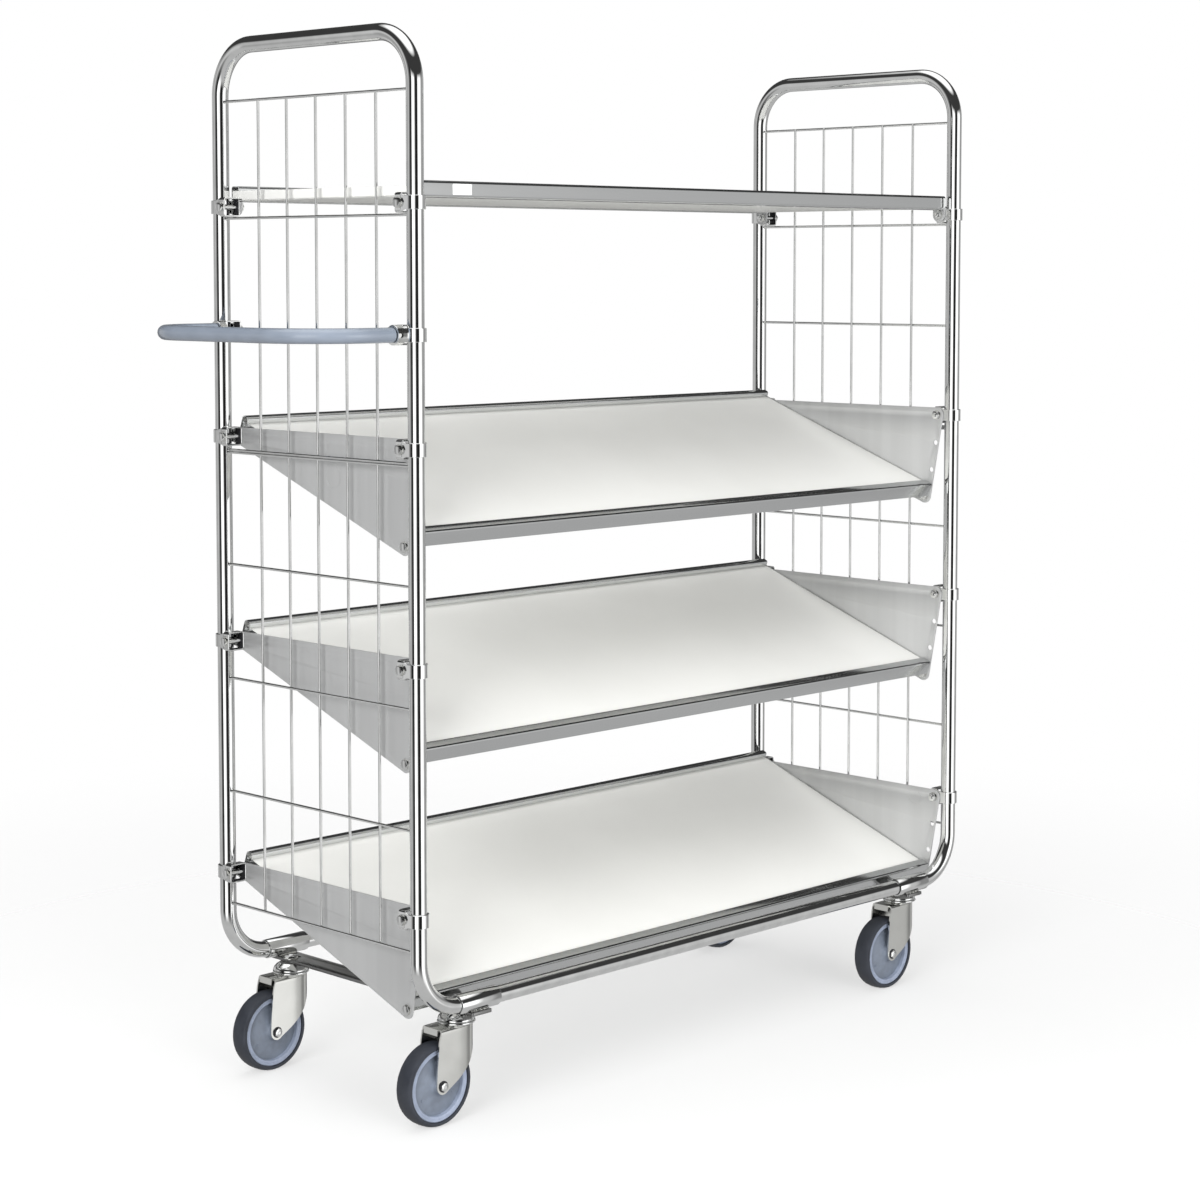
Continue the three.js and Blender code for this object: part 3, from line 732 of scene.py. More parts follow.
def base_rail(side):
    low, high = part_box(f"base_rail_{side}")
    y = SIDES[side] * POST_Y
    stations = (low.x, low.x + 0.001, high.x - 0.001, high.x)
    path = [(Vector((x, y, BASE_Z)), Vector((1, 0, 0))) for x in stations]
    piece = Piece(f"base_rail_tube_{side}")
    piece.add(tube(path, TUBE_R, TUBE_WALL, sides=48), ZINC)
    piece.make("root", [f"base_rail_{side}"])


# ---- clamps


def strap_height(y):
    """The strap is wider at its ears than round the post."""
    share = min(1.0, max(0.0, (y - 0.005) / 0.008))
    share = share * share * (3 - 2 * share)
    return CLAMP_BAND_H + (CLAMP_EAR_H - 0.004 - CLAMP_BAND_H) * share


def strap(place):
    """The band round the post. Its own Y points from the post into the cart's middle."""
    wall = CLAMP_OUT_R - CLAMP_BORE_R
    mid = (CLAMP_OUT_R + CLAMP_BORE_R) / 2
    ear = CLAMP_EAR_START + 0.001
    line = [Vector((mid, ear * k / 8)) for k in range(8, 0, -1)]
    line += arc((0, 0), mid, 0, -180, 36)
    line += [Vector((-mid, ear * k / 8)) for k in range(1, 9)]
    edge = 0.0005
    rings = []
    for i, point in enumerate(line):
        ahead, behind = line[min(i + 1, len(line) - 1)], line[max(i - 1, 0)]
        way = (ahead - behind).normalized()
        out = Vector((-way.y, way.x)) * wall / 2
        half = strap_height(point.y) / 2
        section = [(1, -half + edge), (0.5, -half), (-0.5, -half), (-1, -half + edge),
                   (-1, half - edge), (-0.5, half), (0.5, half), (1, half - edge)]
        rings.append([place @ Vector((point.x + out.x * s, point.y + out.y * s, z))
                      for s, z in section])
    return loft(rings)


def ear_ring(place, inset, y):
    """The rounded section of the clamp's ears at y, drawn in by inset."""
    x, z = CLAMP_OUT_R - inset, CLAMP_EAR_H / 2 - inset
    outline = rounded(rectangle(-x, -z, x, z), max(0.0012, 0.0042 - inset), 6)
    return [place @ Vector((p.x, y, p.y)) for p in outline]


def ear_box(place):
    """The flared ears with their top and bottom flanges: a box open towards the middle."""
    wall = CLAMP_OUT_R - CLAMP_BORE_R
    edge = 0.0004
    y0, y1 = CLAMP_EAR_START, CLAMP_EAR_END
    insets = [(edge, y0), (0, y0 + edge), (0, y1 - edge), (edge, y1), (wall - edge, y1),
              (wall, y1 - edge), (wall, y0 + edge), (wall - edge, y0)]
    return loft([ear_ring(place, inset, y) for inset, y in insets], closed=True)


def ear_painted_shade(place):
    """A dark liner just inside the ears' inner faces: painted shade."""
    wall = CLAMP_OUT_R - CLAMP_BORE_R
    y0, y1 = CLAMP_EAR_START + 0.0002, CLAMP_EAR_END - 0.0012
    insets = [(wall - 0.0002, y0), (wall - 0.0002, y1), (wall + 0.0002, y1), (wall + 0.0002, y0)]
    return loft([ear_ring(place, inset, y) for inset, y in insets], closed=True)


def clamp_place(end, side, z):
    return Matrix(((ENDS[end], 0, 0, POST_X[end]), (0, -SIDES[side], 0, SIDES[side] * POST_Y),
                   (0, 0, 1, z), (0, 0, 0, 1)))


def handle_collar(place):
    """The socket on the outer face of a handle clamp, which takes the handle's sleeve."""
    edge, sunk = 0.0006, -0.0004
    bore = GRIP_R - 0.0011
    profile = [(bore, sunk), (COLLAR_R, sunk), (COLLAR_R, COLLAR_LENGTH - edge),
               (COLLAR_R - edge, COLLAR_LENGTH), (bore + edge, COLLAR_LENGTH),
               (bore, COLLAR_LENGTH - edge)]
    return lathe(profile, place, 56, closed=True)


def clamp(name, node, end, side, inner_end):
    """A clamp and its bolt. inner_end is nut, flush or head, as the bolt's inner end is."""
    low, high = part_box(node)
    place = clamp_place(end, side, (low.z + high.z) / 2)
    piece = Piece(name)
    piece.add(strap(place), ZINC)
    piece.add(ear_box(place), ZINC)
    # a dark liner with painted shade inside the ears
    piece.add(ear_painted_shade(place), PAINTED_SHADE)
    outward = place @ along("x", (0, CLAMP_BOLT_Y, 0))
    inward = place @ along("x", (0, CLAMP_BOLT_Y, 0), -1)

    def out(x):
        return shifted(outward, x)

    def into(x):
        return shifted(inward, x)

    ear = CLAMP_OUT_R
    plate_in = TOP_TAB_IN if name.startswith("top") else PLATE_IN
    if inner_end == "head":
        piece.add(lathe([(BOLT_R, -ear), (BOLT_R, ear + 0.004)], out(0), 24), ZINC)
        piece.add(washer(into(ear)), SATIN)
        piece.add(hexagon(NUT_FLATS, 0.0045, into(ear + 0.001)), ZINC)
    else:
        inner = plate_in if inner_end == "nut" else ear - 0.0006
        piece.add(lathe([(BOLT_R, -inner), (BOLT_R, ear)], out(0), 32), ZINC)
        piece.add(washer(out(ear - 0.0001)), SATIN)
        piece.add(hexagon(NUT_FLATS, 0.0042, out(ear + 0.0012)), ZINC)
        piece.add(dimpled_head(out(ear + 0.0051)), ZINC)
    if inner_end == "nut":
        piece.add(washer(into(plate_in + PIECE_GAP), 0.0078), SATIN)
        piece.add(hexagon(NUT_FLATS, 0.0052, into(plate_in + 0.0016), both=True), ZINC)
        piece.add(thread(into(plate_in + 0.0016), 0.0082), ZINC)
    if name.startswith("handle"):
        piece.add(handle_collar(out(ear)), ZINC)
    piece.make("root", [node])


def clamps():
    for end in ENDS:
        for side in SIDES:
            clamp(f"top_clamp_{end}_{side}", f"clamp_top_{end}_{side}", end, side, "nut")
            for shelf in SHELVES:
                inner = "nut" if side == "back" else "flush"
                clamp(f"{shelf}_clamp_{end}_{side}", f"clamp_{shelf}_{end}_{side}", end, side, inner)
    for side in SIDES:
        clamp(f"handle_holder_{side}", f"handle_clamp_{side}", "left", side, "head")


# ---- push handle


def push_handle():
    low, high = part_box("handle_grip")
    z = (low.z + high.z) / 2
    far = low.x + GRIP_R
    tube_low, tube_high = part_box("push_handle")
    tube_r = (tube_high.z - tube_low.z) / 2

    def path(start):
        corners = [(start, -BOLT_Y, z), (far, -BOLT_Y, z), (far, BOLT_Y, z), (start, BOLT_Y, z)]
        return bent_path(corners, HANDLE_BEND_R, 28)

    core = Piece("push_handle_tube")
    core.add(tube(path(tube_high.x), tube_r, 0.0016, sides=40), ZINC)
    core.make("root", ["push_handle"])
    sleeve_piece = Piece("push_handle_sleeve")
    sleeve_piece.add(tube(path(high.x), GRIP_R, 0.0016, sides=48, lip=0.0006, mouth=0.001), GRIP)
    sleeve_piece.make("root", ["handle_grip"])


# ---- shelves


def rail(line, x0, x1, radius):
    """A folded rail along X from the middle line of its section, given as (y, z)."""
    outline = sheet_outline(rounded(line, radius, 6, closed=False), RAIL_SHEET)
    return prism(outline, yz_plane(x0), x1 - x0)


def board(outline, x0, x1):
    return prism(rounded(outline, 0.0006, 2), yz_plane(x0), x1 - x0)


def top_shelf():
    low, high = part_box("top_shelf_frame")
    deck_low, deck_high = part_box("top_shelf_deck")
    t = RAIL_SHEET / 2
    top, bottom = high.z, high.z - RAIL_HEIGHT
    piece = Piece("top_shelf_rails")
    for side in SIDES.values():
        face = side * (high.y - t)
        lip = side * (high.y - FRONT_FLANGE + t)
        line = [(side * (high.y - RAIL_FOOT), bottom + t), (face, bottom + t), (face, top - t),
                (lip, top - t), (lip, deck_high.z + PIECE_GAP)]
        piece.add(rail(line, low.x, high.x, TOP_RAIL_FOLD_R), RAIL)
    clamp_z = middle("clamp_top_left_front").z
    for sign in ENDS.values():
        outer = low.x if sign < 0 else high.x
        place = yz_plane(outer - sign * PLATE_THICK / 2)
        half = high.y - 0.0018
        edge_low = bottom + END_EDGE_LIFT
        edging = rectangle(-half, edge_low, half, deck_high.z)
        piece.add(plate(rounded(edging, 0.0008, 3), [], PLATE_THICK, place), WHITE)
        trim = Vector((outer - sign * EDGE_TRIM_R, 0, deck_high.z - EDGE_TRIM_R))
        piece.add(rod(trim - Vector((0, half, 0)), trim + Vector((0, half, 0)), EDGE_TRIM_R), RAIL)
        for side in SIDES.values():
            y = side * BOLT_Y
            r = PLATE_CORNER_R
            tab = [Vector((y + r, edge_low + 0.002)), Vector((y - r, edge_low + 0.002))]
            tab += arc((y, clamp_z), r, 180, 360, 20)
            holes = [round_hole((y, clamp_z), HOLE_R)]
            piece.add(plate(tab, holes, PLATE_THICK, place), SHEET)
    frame_piece = piece.make("root", ["top_shelf_frame"])
    break_edges(frame_piece, 0.0002)
    deck = Piece("top_shelf_board")
    outline = rectangle(deck_low.y, deck_low.z, deck_high.y, deck_high.z)
    deck.add(board(outline, deck_low.x, deck_high.x), WHITE)
    deck.make("root", ["top_shelf_deck"])
    label(low.x, low.y, (top + bottom) / 2)


def label(rail_start, rail_face, z):
    """A blank label on the front rail."""
    x = rail_start + 0.080
    half_x, half_z = 0.0185, 0.0078
    outline = rounded(rectangle(-half_x, -half_z, half_x, half_z), 0.0012, 4)
    place = Matrix.Translation((x, rail_face - 0.0001, z)) @ Matrix.Rotation(math.pi / 2, 4, "X")
    piece = Piece("blank_label")
    piece.add(plate(outline, [], 0.0003, place, 0.0001), LABEL)
    piece.make("root")


class Tilted:
    """Places on a tilting shelf: u from the pivot along the deck to the front, n up from it."""

    def __init__(self, shelf):
        joint = JOINTS[f"{shelf}_shelf_tilt"]
        self.y, self.z = joint["pos_m"][1], joint["pos_m"][2]
        self.lean = math.radians(TILT_STEP * TILT_STEPS)

    def at(self, u, n):
        cos, sin = math.cos(self.lean), math.sin(self.lean)
        return Vector((self.y - u * cos - n * sin, self.z - u * sin + n * cos))

    def line(self, points):
        return [self.at(u, n) for u, n in points]


def tilting_shelf(shelf):
    body = f"{shelf}_shelf"
    low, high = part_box(f"{body}_frame")
    deck_low, deck_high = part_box(f"{body}_deck")
    tilted = Tilted(shelf)
    t = RAIL_SHEET / 2
    front, back = FRONT_RAIL_U - t, BACK_RAIL_U + t
    bottom = FRONT_RAIL_TOP - RAIL_HEIGHT
    flange_end = FRONT_RAIL_U - FRONT_FLANGE + t
    hook_end = BACK_RAIL_U + BACK_FLANGE - t
    piece = Piece(f"{body}_rails")
    front_line = [(front, bottom), (front, FRONT_RAIL_TOP - t), (flange_end, FRONT_RAIL_TOP - t),
                  (flange_end, DECK_TOP + PIECE_GAP)]
    piece.add(rail(tilted.line(front_line), low.x, high.x, RAIL_FOLD_R), RAIL)
    back_line = [(back, DECK_TOP - DECK_THICK), (back, BACK_RAIL_TOP - t),
                 (hook_end, BACK_RAIL_TOP - t), (hook_end, DECK_TOP + PIECE_GAP)]
    piece.add(rail(tilted.line(back_line), low.x, high.x, RAIL_FOLD_R), RAIL)
    for sign in ENDS.values():
        outer = low.x if sign < 0 else high.x
        edge = rectangle(back, DECK_TOP - DECK_THICK, front, DECK_TOP + 0.0012)
        strip = prism(tilted.line(edge), yz_plane(outer, -sign), RAIL_SHEET)
        piece.add(strip, RAIL)
    break_edges(piece.make(body, [f"{body}_frame"]), 0.0002)
    deck = Piece(f"{body}_board")
    u0, u1 = back + t + PIECE_GAP, front - t - PIECE_GAP
    outline = tilted.line(rectangle(u0, DECK_TOP - DECK_THICK, u1, DECK_TOP))
    deck.add(board(outline, deck_low.x, deck_high.x), WHITE)
    deck.make(body, [f"{body}_deck"])


def punched_mark(piece, face_x, ring_r, y, z):
    """Two faint raised rings on a side plate's face."""
    for radius in (ring_r, ring_r - 0.0016):
        profile = [(radius - 0.0004, -0.0002), (radius - 0.0002, 0.00022),
                   (radius + 0.0002, 0.00022), (radius + 0.0004, -0.0002)]
        piece.add(lathe(profile, along("x", (face_x, y, z), -1), 64, closed=True), SHEET)


def side_plate(shelf, end, mark=None):
    """The tilting shelf's side plate: three equal rounds joined by straight edges."""
    body = f"{shelf}_shelf"
    node = f"{body}_plate_{end}"
    tilted = Tilted(shelf)
    sign = ENDS[end]
    outer = POST_X[end] - sign * (PLATE_IN - PLATE_THICK)
    pivot = Vector((tilted.y, tilted.z))

    def hole(k):
        drop = math.radians(k * TILT_STEP)
        return pivot - Vector((math.cos(drop), math.sin(drop))) * (2 * BOLT_Y)

    first, last = hole(0), hole(TILT_STEPS)
    edge_way = last - first
    front = math.degrees(math.atan2(edge_way.y, edge_way.x)) + 270
    down = math.degrees(tilted.lean) - 90
    r = PLATE_CORNER_R
    outline = arc(pivot, r, down, 90, 20) + arc(first, r, 90, front, 14)
    outline += arc(last, r, front, down + 360, 16)
    holes = [round_hole(at, HOLE_R) for at in (pivot, first, hole(1), hole(2), last)]
    piece = Piece(f"{body}_side_{end}")
    piece.add(plate(outline, holes, PLATE_THICK, yz_plane(outer - sign * PLATE_THICK / 2)), SHEET)
    inner = outer - sign * PLATE_THICK
    for at in (first, last):
        nut_at = along("x", (inner, at.x, at.y), -sign)
        piece.add(washer(nut_at), SATIN)
        piece.add(hexagon(NUT_FLATS, 0.0050, shifted(nut_at, 0.0012), both=True), ZINC)
        piece.add(thread(shifted(nut_at, 0.0010), 0.0086), ZINC)
    head_at = along("x", (outer, last.x, last.y), sign)
    piece.add(lathe([(BOLT_R, -PLATE_THICK - 0.001), (BOLT_R, 0.001)], head_at, 24), ZINC)
    piece.add(washer(head_at, height=0.0010), SATIN)
    piece.add(hexagon(NUT_FLATS, 0.0035, shifted(head_at, 0.0009)), ZINC)
    if mark:
        punched_mark(piece, outer if end == "left" else inner, *mark)
    piece.make(body, [node])


def tilting_shelves():
    marks = {("upper", "left"): (0.018, 0.186, 0.0495),
             ("lower", "right"): (0.014, 0.330, 0.006)}
    for shelf in SHELVES:
        tilting_shelf(shelf)
        tilted = Tilted(shelf)
        for end in ENDS:
            mark = marks.get((shelf, end))
            if mark:
                radius, ahead, drop = mark
                mark = (radius, tilted.y - ahead - 0.040, tilted.z - drop)
            side_plate(shelf, end, mark)


# ---- castors


def castor_head(end, side):
    """The fixed upper race, its kingpin and the nut on the crossbar."""
    node = f"castor_head_{end}_{side}"
    x, y, _ = JOINTS[f"castor_swivel_{end}_{side}"]["pos_m"]
    low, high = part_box(node)
    bar_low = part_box(f"base_crossbar_{end}")[0].z
    bar_top = bar_low + BAR_THICK
    place = Matrix.Translation((x, y, 0))
    race = CROWN_TOP + 0.0038
    top = bar_low - 0.0003
    dome = [(0.0264, 0), (0.0273, 0.0005), (0.0276, 0.0016), (0.0272, 0.0034), (0.0262, 0.0054),
            (0.0246, 0.0074), (0.0224, 0.0093), (0.0200, 0.0107)]
    cup = [(KINGPIN_R, race)] + [(r, race + h) for r, h in dome] + [(0.0180, top), (KINGPIN_R, top)]
    pin = [(0.0, low.z), (0.0085, low.z), (0.0092, low.z + 0.0008), (0.0092, low.z + 0.003),
           (0.0060, low.z + 0.0036), (0.0060, bar_top + 0.001), (0.0, bar_top + 0.001)]
    piece = Piece(f"swivel_head_{end}_{side}")
    piece.add(lathe(cup, place, 64, closed=True), ZINC)
    piece.add(lathe(pin, place, 40), ZINC)
    piece.add(washer(shifted(place, bar_top), 0.0115, KINGPIN_R, 0.0014), SATIN)
    nut_place = shifted(place, bar_top + 0.0012)
    piece.add(hexagon(0.017, 0.0036, nut_place, both=True), ZINC)
    piece.add(thread(nut_place, high.z - bar_top - 0.0010, 0.0050, 0.0015), ZINC)
    piece.make("root", [node])


def fork_edges():
    """The leg's trailing and leading edges as (u, z), from under the crown to below the axle."""
    axle = Vector((-CASTOR_TRAIL, WHEEL_R))
    top = CROWN_TOP - FORK_SHEET / 2 - FORK_BEND
    trailing = [(-0.0478, top), (-0.0500, top - 0.0060), (-0.0525, 0.1220), (-0.0548, 0.1000),
                (-0.0564, 0.0800), *arc(axle, FORK_BOSS_R, 176, 255, 8)]
    leading = [(FORK_FRONT_U, top), (0.0268, 0.1310), (0.0250, 0.1180), (0.0192, 0.1030),
               (0.0070, 0.0860), (-0.0120, 0.0690), *arc(axle, FORK_BOSS_R, 318, 265, 6)]
    return [Vector(at) for at in trailing], [Vector(at) for at in leading]


def smooth_line(points, samples):
    """Even samples of a smooth line through points."""
    spline = []
    count = len(points)
    for i in range(count - 1):
        p0, p1 = points[max(i - 1, 0)], points[i]
        p2, p3 = points[i + 1], points[min(i + 2, count - 1)]
        for k in range(8):
            t = k / 8
            spline.append(0.5 * ((2 * p1) + (p2 - p0) * t + (2 * p0 - 5 * p1 + 4 * p2 - p3) * t * t
                                 + (3 * p1 - p0 - 3 * p2 + p3) * t * t * t))
    spline.append(points[-1])
    lengths = [0.0]
    for a, b in zip(spline, spline[1:]):
        lengths.append(lengths[-1] + (b - a).length)
    result = []
    k = 0
    for i in range(samples + 1):
        want = lengths[-1] * i / samples
        while k < len(spline) - 2 and lengths[k + 1] < want:
            k += 1
        span = max(1e-9, lengths[k + 1] - lengths[k])
        result.append(spline[k].lerp(spline[k + 1], min(1.0, (want - lengths[k]) / span)))
    return result


def wrapped(u, z, sink, side):
    """A point of the leg, sunk inwards from its middle surface, which rounds the swivel."""
    share = max(0.0, (u - FORK_CURVE_START) / FORK_CURVE_REACH)
    drop = FORK_CURVE_DROP * share ** FORK_CURVE_POWER
    steep = FORK_CURVE_DROP / FORK_CURVE_REACH * FORK_CURVE_POWER * share ** (FORK_CURVE_POWER - 1)
    across, out = steep / math.hypot(steep, 1), 1 / math.hypot(steep, 1)
    mid_y = FORK_IN_HALF_Y + FORK_SHEET / 2
    return Vector((u - sink * across, side * (mid_y - drop - sink * out), z))


def fork_leg(side, place):
    """One leg: pressed from sheet, bent over into the crown, and rounded at its leading side."""
    trailing, leading = fork_edges()
    trailing, leading = smooth_line(trailing, 32), smooth_line(leading, 32)
    across = 34
    top = trailing[0].y
    rows = []
    for i in range(5, 0, -1):
        turn = math.pi / 2 * i / 5
        rows.append((trailing[0], leading[0], turn))
    rows += [(a, b, 0.0) for a, b in zip(trailing, leading)]
    layers = []
    for shift in (-FORK_SHEET / 2, FORK_SHEET / 2):
        layer = []
        for a, b, turn in rows:
            sink = FORK_BEND * (1 - math.cos(turn)) - shift * math.cos(turn)
            lift = (FORK_BEND + shift) * math.sin(turn)
            cells = [a.lerp(b, j / across) for j in range(across + 1)]
            layer.append([place @ wrapped(at.x, min(at.y, top) + lift, sink, side) for at in cells])
        layers.append(layer)
    return sheet_from_layers(layers)


def crown_outline():
    """The crown's outline: it meets the bent tops of both legs."""
    ways = [CROWN_BACK_U + (FORK_FRONT_U - CROWN_BACK_U) * k / 24 for k in range(25)]
    near = [wrapped(u, 0, FORK_BEND - 0.0006, 1) for u in ways]
    far = [wrapped(u, 0, FORK_BEND - 0.0006, -1) for u in reversed(ways)]
    return [Vector((p.x, p.y)) for p in near + far]


def sheet_from_layers(layers):
    """A closed sheet from two grids of points that lie on its two faces."""
    rows, columns = len(layers[0]), len(layers[0][0])
    points = [p for layer in layers for line in layer for p in line]

    def index(layer, r, c):
        return layer * rows * columns + r * columns + c

    faces = []
    for layer in (0, 1):
        for r in range(rows - 1):
            for c in range(columns - 1):
                faces.append((index(layer, r, c), index(layer, r, c + 1),
                              index(layer, r + 1, c + 1), index(layer, r + 1, c)))
    border = [(0, c) for c in range(columns)] + [(r, columns - 1) for r in range(1, rows)]
    border += [(rows - 1, c) for c in range(columns - 2, -1, -1)]
    border += [(r, 0) for r in range(rows - 2, 0, -1)]
    for (r0, c0), (r1, c1) in zip(border, border[1:] + border[:1]):
        faces.append((index(0, r0, c0), index(0, r1, c1), index(1, r1, c1), index(1, r0, c0)))
    return points, faces


def castor_fork(end, side):
    node = f"castor_fork_{end}_{side}"
    x, y, _ = JOINTS[f"castor_swivel_{end}_{side}"]["pos_m"]
    place = Matrix.Translation((x, y, 0))
    piece = Piece(f"fork_{end}_{side}")
    for sign in (-1, 1):
        piece.add(fork_leg(sign, place), SATIN)
    half = FORK_IN_HALF_Y - 0.002
    flat = shifted(place, CROWN_TOP - FORK_SHEET / 2)
    pin_hole = round_hole((0, 0), CROWN_HOLE_R)
    piece.add(plate(crown_outline(), [pin_hole], FORK_SHEET, flat), SATIN)
    lip = [(-0.0482, CROWN_TOP - 0.0012), (-0.0494, CROWN_TOP - 0.0012), (-0.0502, CROWN_TOP - 0.0100)]
    lip_outline = sheet_outline([Vector((a, b)) for a, b in lip], 0.0022)
    xz = place @ Matrix(((1, 0, 0, 0), (0, 0, 1, -half + 0.002), (0, 1, 0, 0), (0, 0, 0, 1)))
    piece.add(prism(lip_outline, xz, 2 * half - 0.004), SATIN)
    race = [(CROWN_HOLE_R, -0.0005), (0.0262, -0.0005), (0.0280, 0.0004), (0.0286, 0.0014),
            (0.0284, 0.0026), (0.0274, 0.0032), (CROWN_HOLE_R, 0.0032)]
    piece.add(lathe([(r, CROWN_TOP + h) for r, h in race], place, 72, closed=True), ZINC)
    axle = Vector((x - CASTOR_TRAIL, y, WHEEL_R))
    outer = FORK_IN_HALF_Y + FORK_SHEET
    for sign in (-1, 1):
        seat = along("y", axle + Vector((0, sign * outer, 0)), sign)
        axle_end = [(0.0, -0.0225), (0.0056, -0.0225), (0.0056, 0.001), (0.0, 0.001)]
        piece.add(lathe(axle_end, seat, 32), ZINC)
        # the washer under each axle nut is dark metal: painted shade round the nut
        piece.add(washer(seat, 0.0086, 0.0042, 0.0009), PAINTED_SHADE)
        nut_place = shifted(seat, 0.0006)
        piece.add(hexagon(0.0125, 0.0036, nut_place, both=True), ZINC)
        piece.add(thread(nut_place, 0.0044, 0.0036), ZINC)
    piece.make(f"castor_fork_{end}_{side}", [node], sharp=40)


def wheel(end, side):
    body = f"castor_wheel_{end}_{side}"
    x, y, z = JOINTS[f"castor_roll_{end}_{side}"]["pos_m"]
    place = along("y", (x, y, z))
    w = TYRE_HALF_W
    tread = [(HUB_R + 0.0001, w - 0.0012), (0.0555, w - 0.0003), (0.0570, w), (0.0588, w - 0.0006),
             (0.0603, w - 0.0022), (0.0614, w - 0.0048), (0.0621, w - 0.0085), (WHEEL_R, 0.0001)]
    tyre = Piece(f"tyre_{end}_{side}")
    tyre.add(lathe(mirrored(tread), place, 128, closed=True), TYRE)
    tyre.make(body, [f"castor_tyre_{end}_{side}"])
    rim_in, rim = 0.0455, w - 0.0026
    dish = [(0.0064, 0.0182), (0.0112, 0.0182), (0.0122, 0.0174), (0.0128, 0.0150),
            (0.0150, 0.0122), (0.0190, 0.0106), (0.0270, 0.0090), (0.0350, 0.0076),
            (0.0410, 0.0068), (0.0448, 0.0066), (rim_in, 0.0072)]
    ring = [(rim_in, 0.0072), (rim_in + 0.0008, rim - 0.0010), (rim_in + 0.0018, rim - 0.0002),
            (rim_in + 0.0040, rim), (rim_in + 0.0044, rim - 0.0004), (rim_in + 0.0050, rim - 0.0004),
            (rim_in + 0.0054, rim), (HUB_R - 0.0012, rim), (HUB_R, rim - 0.0010)]
    hub = Piece(f"hub_{end}_{side}")
    hub.add(lathe(mirrored(dish), place, 96, closed=True), HUB)
    # the rim ring's lighter plastic is painted light on the raised ring
    hub.add(lathe(mirrored(ring), place, 96, closed=True), HUB_RIM_PAINTED_LIGHT)
    for sign in (-1, 1):
        for k in range(3):
            angle = math.radians(28 + 120 * k)
            at = Vector((0.034 * math.cos(angle), 0.034 * math.sin(angle), sign * 0.0072))
            dot = place @ along("z", at, sign)
            profile = [(0.0, 0.0), (0.0026, 0.0), (0.0026, 0.0010), (0.0021, 0.0014), (0.0, 0.0010)]
            hub.add(lathe(profile, dot, 24), HUB)
    hub.make(body, [f"castor_hub_{end}_{side}"])


def castors():
    for end in ENDS:
        for side in SIDES:
            castor_head(end, side)
            castor_fork(end, side)
            wheel(end, side)


# ---- studio

CAMERA_TURN = 0.1244
RING_ANGLES = [(-180, 0.10), (-150, 0.10), (-140, 0.42), (-126, 0.42), (-118, 0.26),
               (-100, 0.24), (-94, 0.42), (-82, 0.36), (-74, 0.16), (-64, 0.10), (-58, 0.01),
               (-40, 0.01), (-33, 1.0), (-6, 1.0), (4, 0.12), (12, 0.01), (38, 0.01),
               (46, 1.0), (78, 1.0), (88, 0.40), (100, 0.34), (108, 0.18), (122, 0.18),
               (130, 0.36), (144, 0.36), (156, 0.10), (179, 0.10)]
RING_PANELS = sorted(((CAMERA_TURN + angle / 360) % 1, level) for angle, level in RING_ANGLES)
OFF_RING = [(0.0, 1.0), (0.24, 1.0), (0.36, 0.0), (0.58, 0.0), (0.65, 1.0), (1.0, 1.0)]
SKY_PANELS = [(0.0, 0.34), (0.40, 0.34), (0.52, 0.03), (0.86, 0.03), (0.93, 0.9), (1.0, 1.0)]


def studio_floor():
    """A pale floor near the cart that fades away into the even white backdrop."""
    sides = 96
    points, _ = lathe([(0.0, 0.0), (3.6, 0.0)], Matrix.Identity(4), sides)
    mesh = bpy.data.meshes.new("floor")
    mesh.from_pydata([tuple(p) for p in points[sides:]], [], [tuple(range(sides))])
    floor = new_object("floor", mesh)
    surface = Surface("floor", (0.90, 0.90, 0.90), 0.8)
    tree = surface.tree
    place = add_node(tree, "TexCoord")
    length = add_node(tree, "VectorMath")
    length.operation = "LENGTH"
    fade = add_node(tree, "MapRange", {"From Min": 0.6, "From Max": 2.6, "To Min": 0.6})
    fade.interpolation_type = "SMOOTHSTEP"
    clear = add_node(tree, "BsdfTransparent")
    mix = add_node(tree, "MixShader")
    join(place, "Object", length, 0)
    join(length, "Value", fade, "Value")
    join(fade, "Result", mix, "Fac")
    join(surface.shader, "BSDF", mix, 1)
    join(clear, "BSDF", mix, 2)
    join(mix, "Shader", tree.nodes["Material Output"], "Surface")
    mesh.materials.append(surface.material)
    floor.visible_glossy = False


def level_ramp(source, output, levels):
    """A ramp of grey levels, as (position, level) pairs, read at a node's output."""
    ramp = add_node(source.id_data, "ValToRGB")
    stops = ramp.color_ramp.elements
    for k, (at, level) in enumerate(levels):
        stop = stops[k] if k < 2 else stops.new(at)
        stop.position = at
        stop.color = (level, level, level, 1)
    join(source, output, ramp, "Fac")
    return ramp


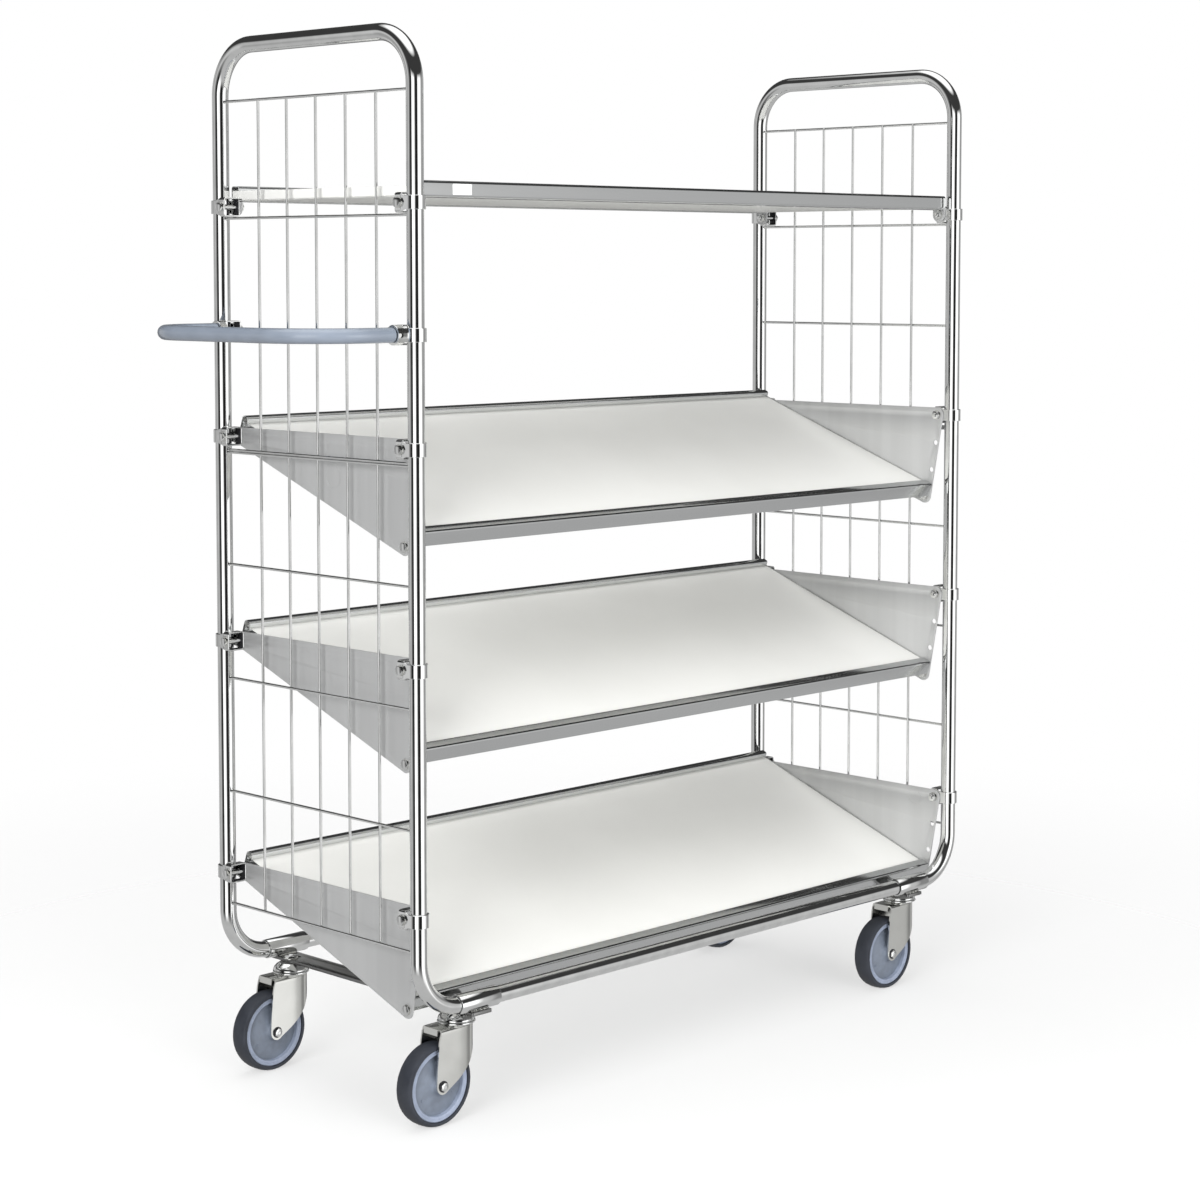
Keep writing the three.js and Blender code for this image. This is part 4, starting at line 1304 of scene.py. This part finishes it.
def studio_world():
    """White to the camera. What the metal mirrors is a ring of bright and dark panels."""
    world = bpy.data.worlds.new("studio")
    bpy.context.scene.world = world
    world.use_nodes = True
    tree = world.node_tree
    tree.nodes.clear()
    place = add_node(tree, "TexCoord")
    turn = add_node(tree, "TexGradient")
    turn.gradient_type = "RADIAL"
    join(place, "Generated", turn, "Vector")
    split = add_node(tree, "SeparateXYZ")
    join(place, "Generated", split, "Vector")
    height = add_node(tree, "MapRange", {"From Min": -1.0})
    join(split, "Z", height, "Value")
    blend = add_node(tree, "Mix")
    blend.data_type = "RGBA"
    join(level_ramp(height, "Result", OFF_RING), "Color", blend, "Factor")
    join(level_ramp(turn, "Fac", RING_PANELS), "Color", blend, "A")
    join(level_ramp(height, "Result", SKY_PANELS), "Color", blend, "B")
    panels_light = add_node(tree, "Background", {"Strength": 1.5})
    join(blend, "Result", panels_light, "Color")
    backdrop = add_node(tree, "Background", {"Color": (1, 1, 1, 1)})
    path = add_node(tree, "LightPath")
    mix = add_node(tree, "MixShader")
    join(path, "Is Camera Ray", mix, "Fac")
    join(panels_light, "Background", mix, 1)
    join(backdrop, "Background", mix, 2)
    join(mix, "Shader", add_node(tree, "OutputWorld"), "Surface")


def soft_light(name, at, target, size, watts):
    light = bpy.data.lights.new(name, "AREA")
    light.shape = "RECTANGLE"
    light.size, light.size_y = size
    light.energy = watts
    lamp = new_object(name, light)
    lamp.location = at
    lamp.visible_camera = False
    lamp.visible_glossy = False
    way = Vector(target) - Vector(at)
    lamp.rotation_euler = way.to_track_quat("-Z", "Y").to_euler()


def studio():
    studio_floor()
    studio_world()
    soft_light("key", (-4.0, -1.6, 2.4), (0, 0, 0.8), (2.4, 2.4), 165)
    soft_light("front", (-0.8, -5.4, 1.6), (0, 0, 0.8), (4.0, 2.4), 235)
    soft_light("top", (-0.3, 0.6, 4.2), (0, 0, 0.8), (3.0, 2.0), 35)


def camera():
    """The photograph's three-quarter view, from the handle end and the open front."""
    data = bpy.data.cameras.new("camera")
    data.lens = 78.82
    data.sensor_width = 36
    data.shift_y = -0.12
    data.clip_end = 100
    view = new_object("camera", data)
    view.location = (-3.0074, -3.0368, 1.2602)
    pitch, yaw = 4.108, 45.236
    view.rotation_euler = (math.radians(90 - pitch), 0, math.radians(-yaw))
    bpy.context.scene.camera = view
    bpy.context.scene.view_settings.view_transform = "Standard"


camera()
studio()
for end_name in ENDS:
    end_frame(end_name)
    wire_mesh(end_name)
    crossbar(end_name)
for side_name in SIDES:
    base_rail(side_name)
clamps()
push_handle()
top_shelf()
tilting_shelves()
castors()

bpy.context.view_layer.update()
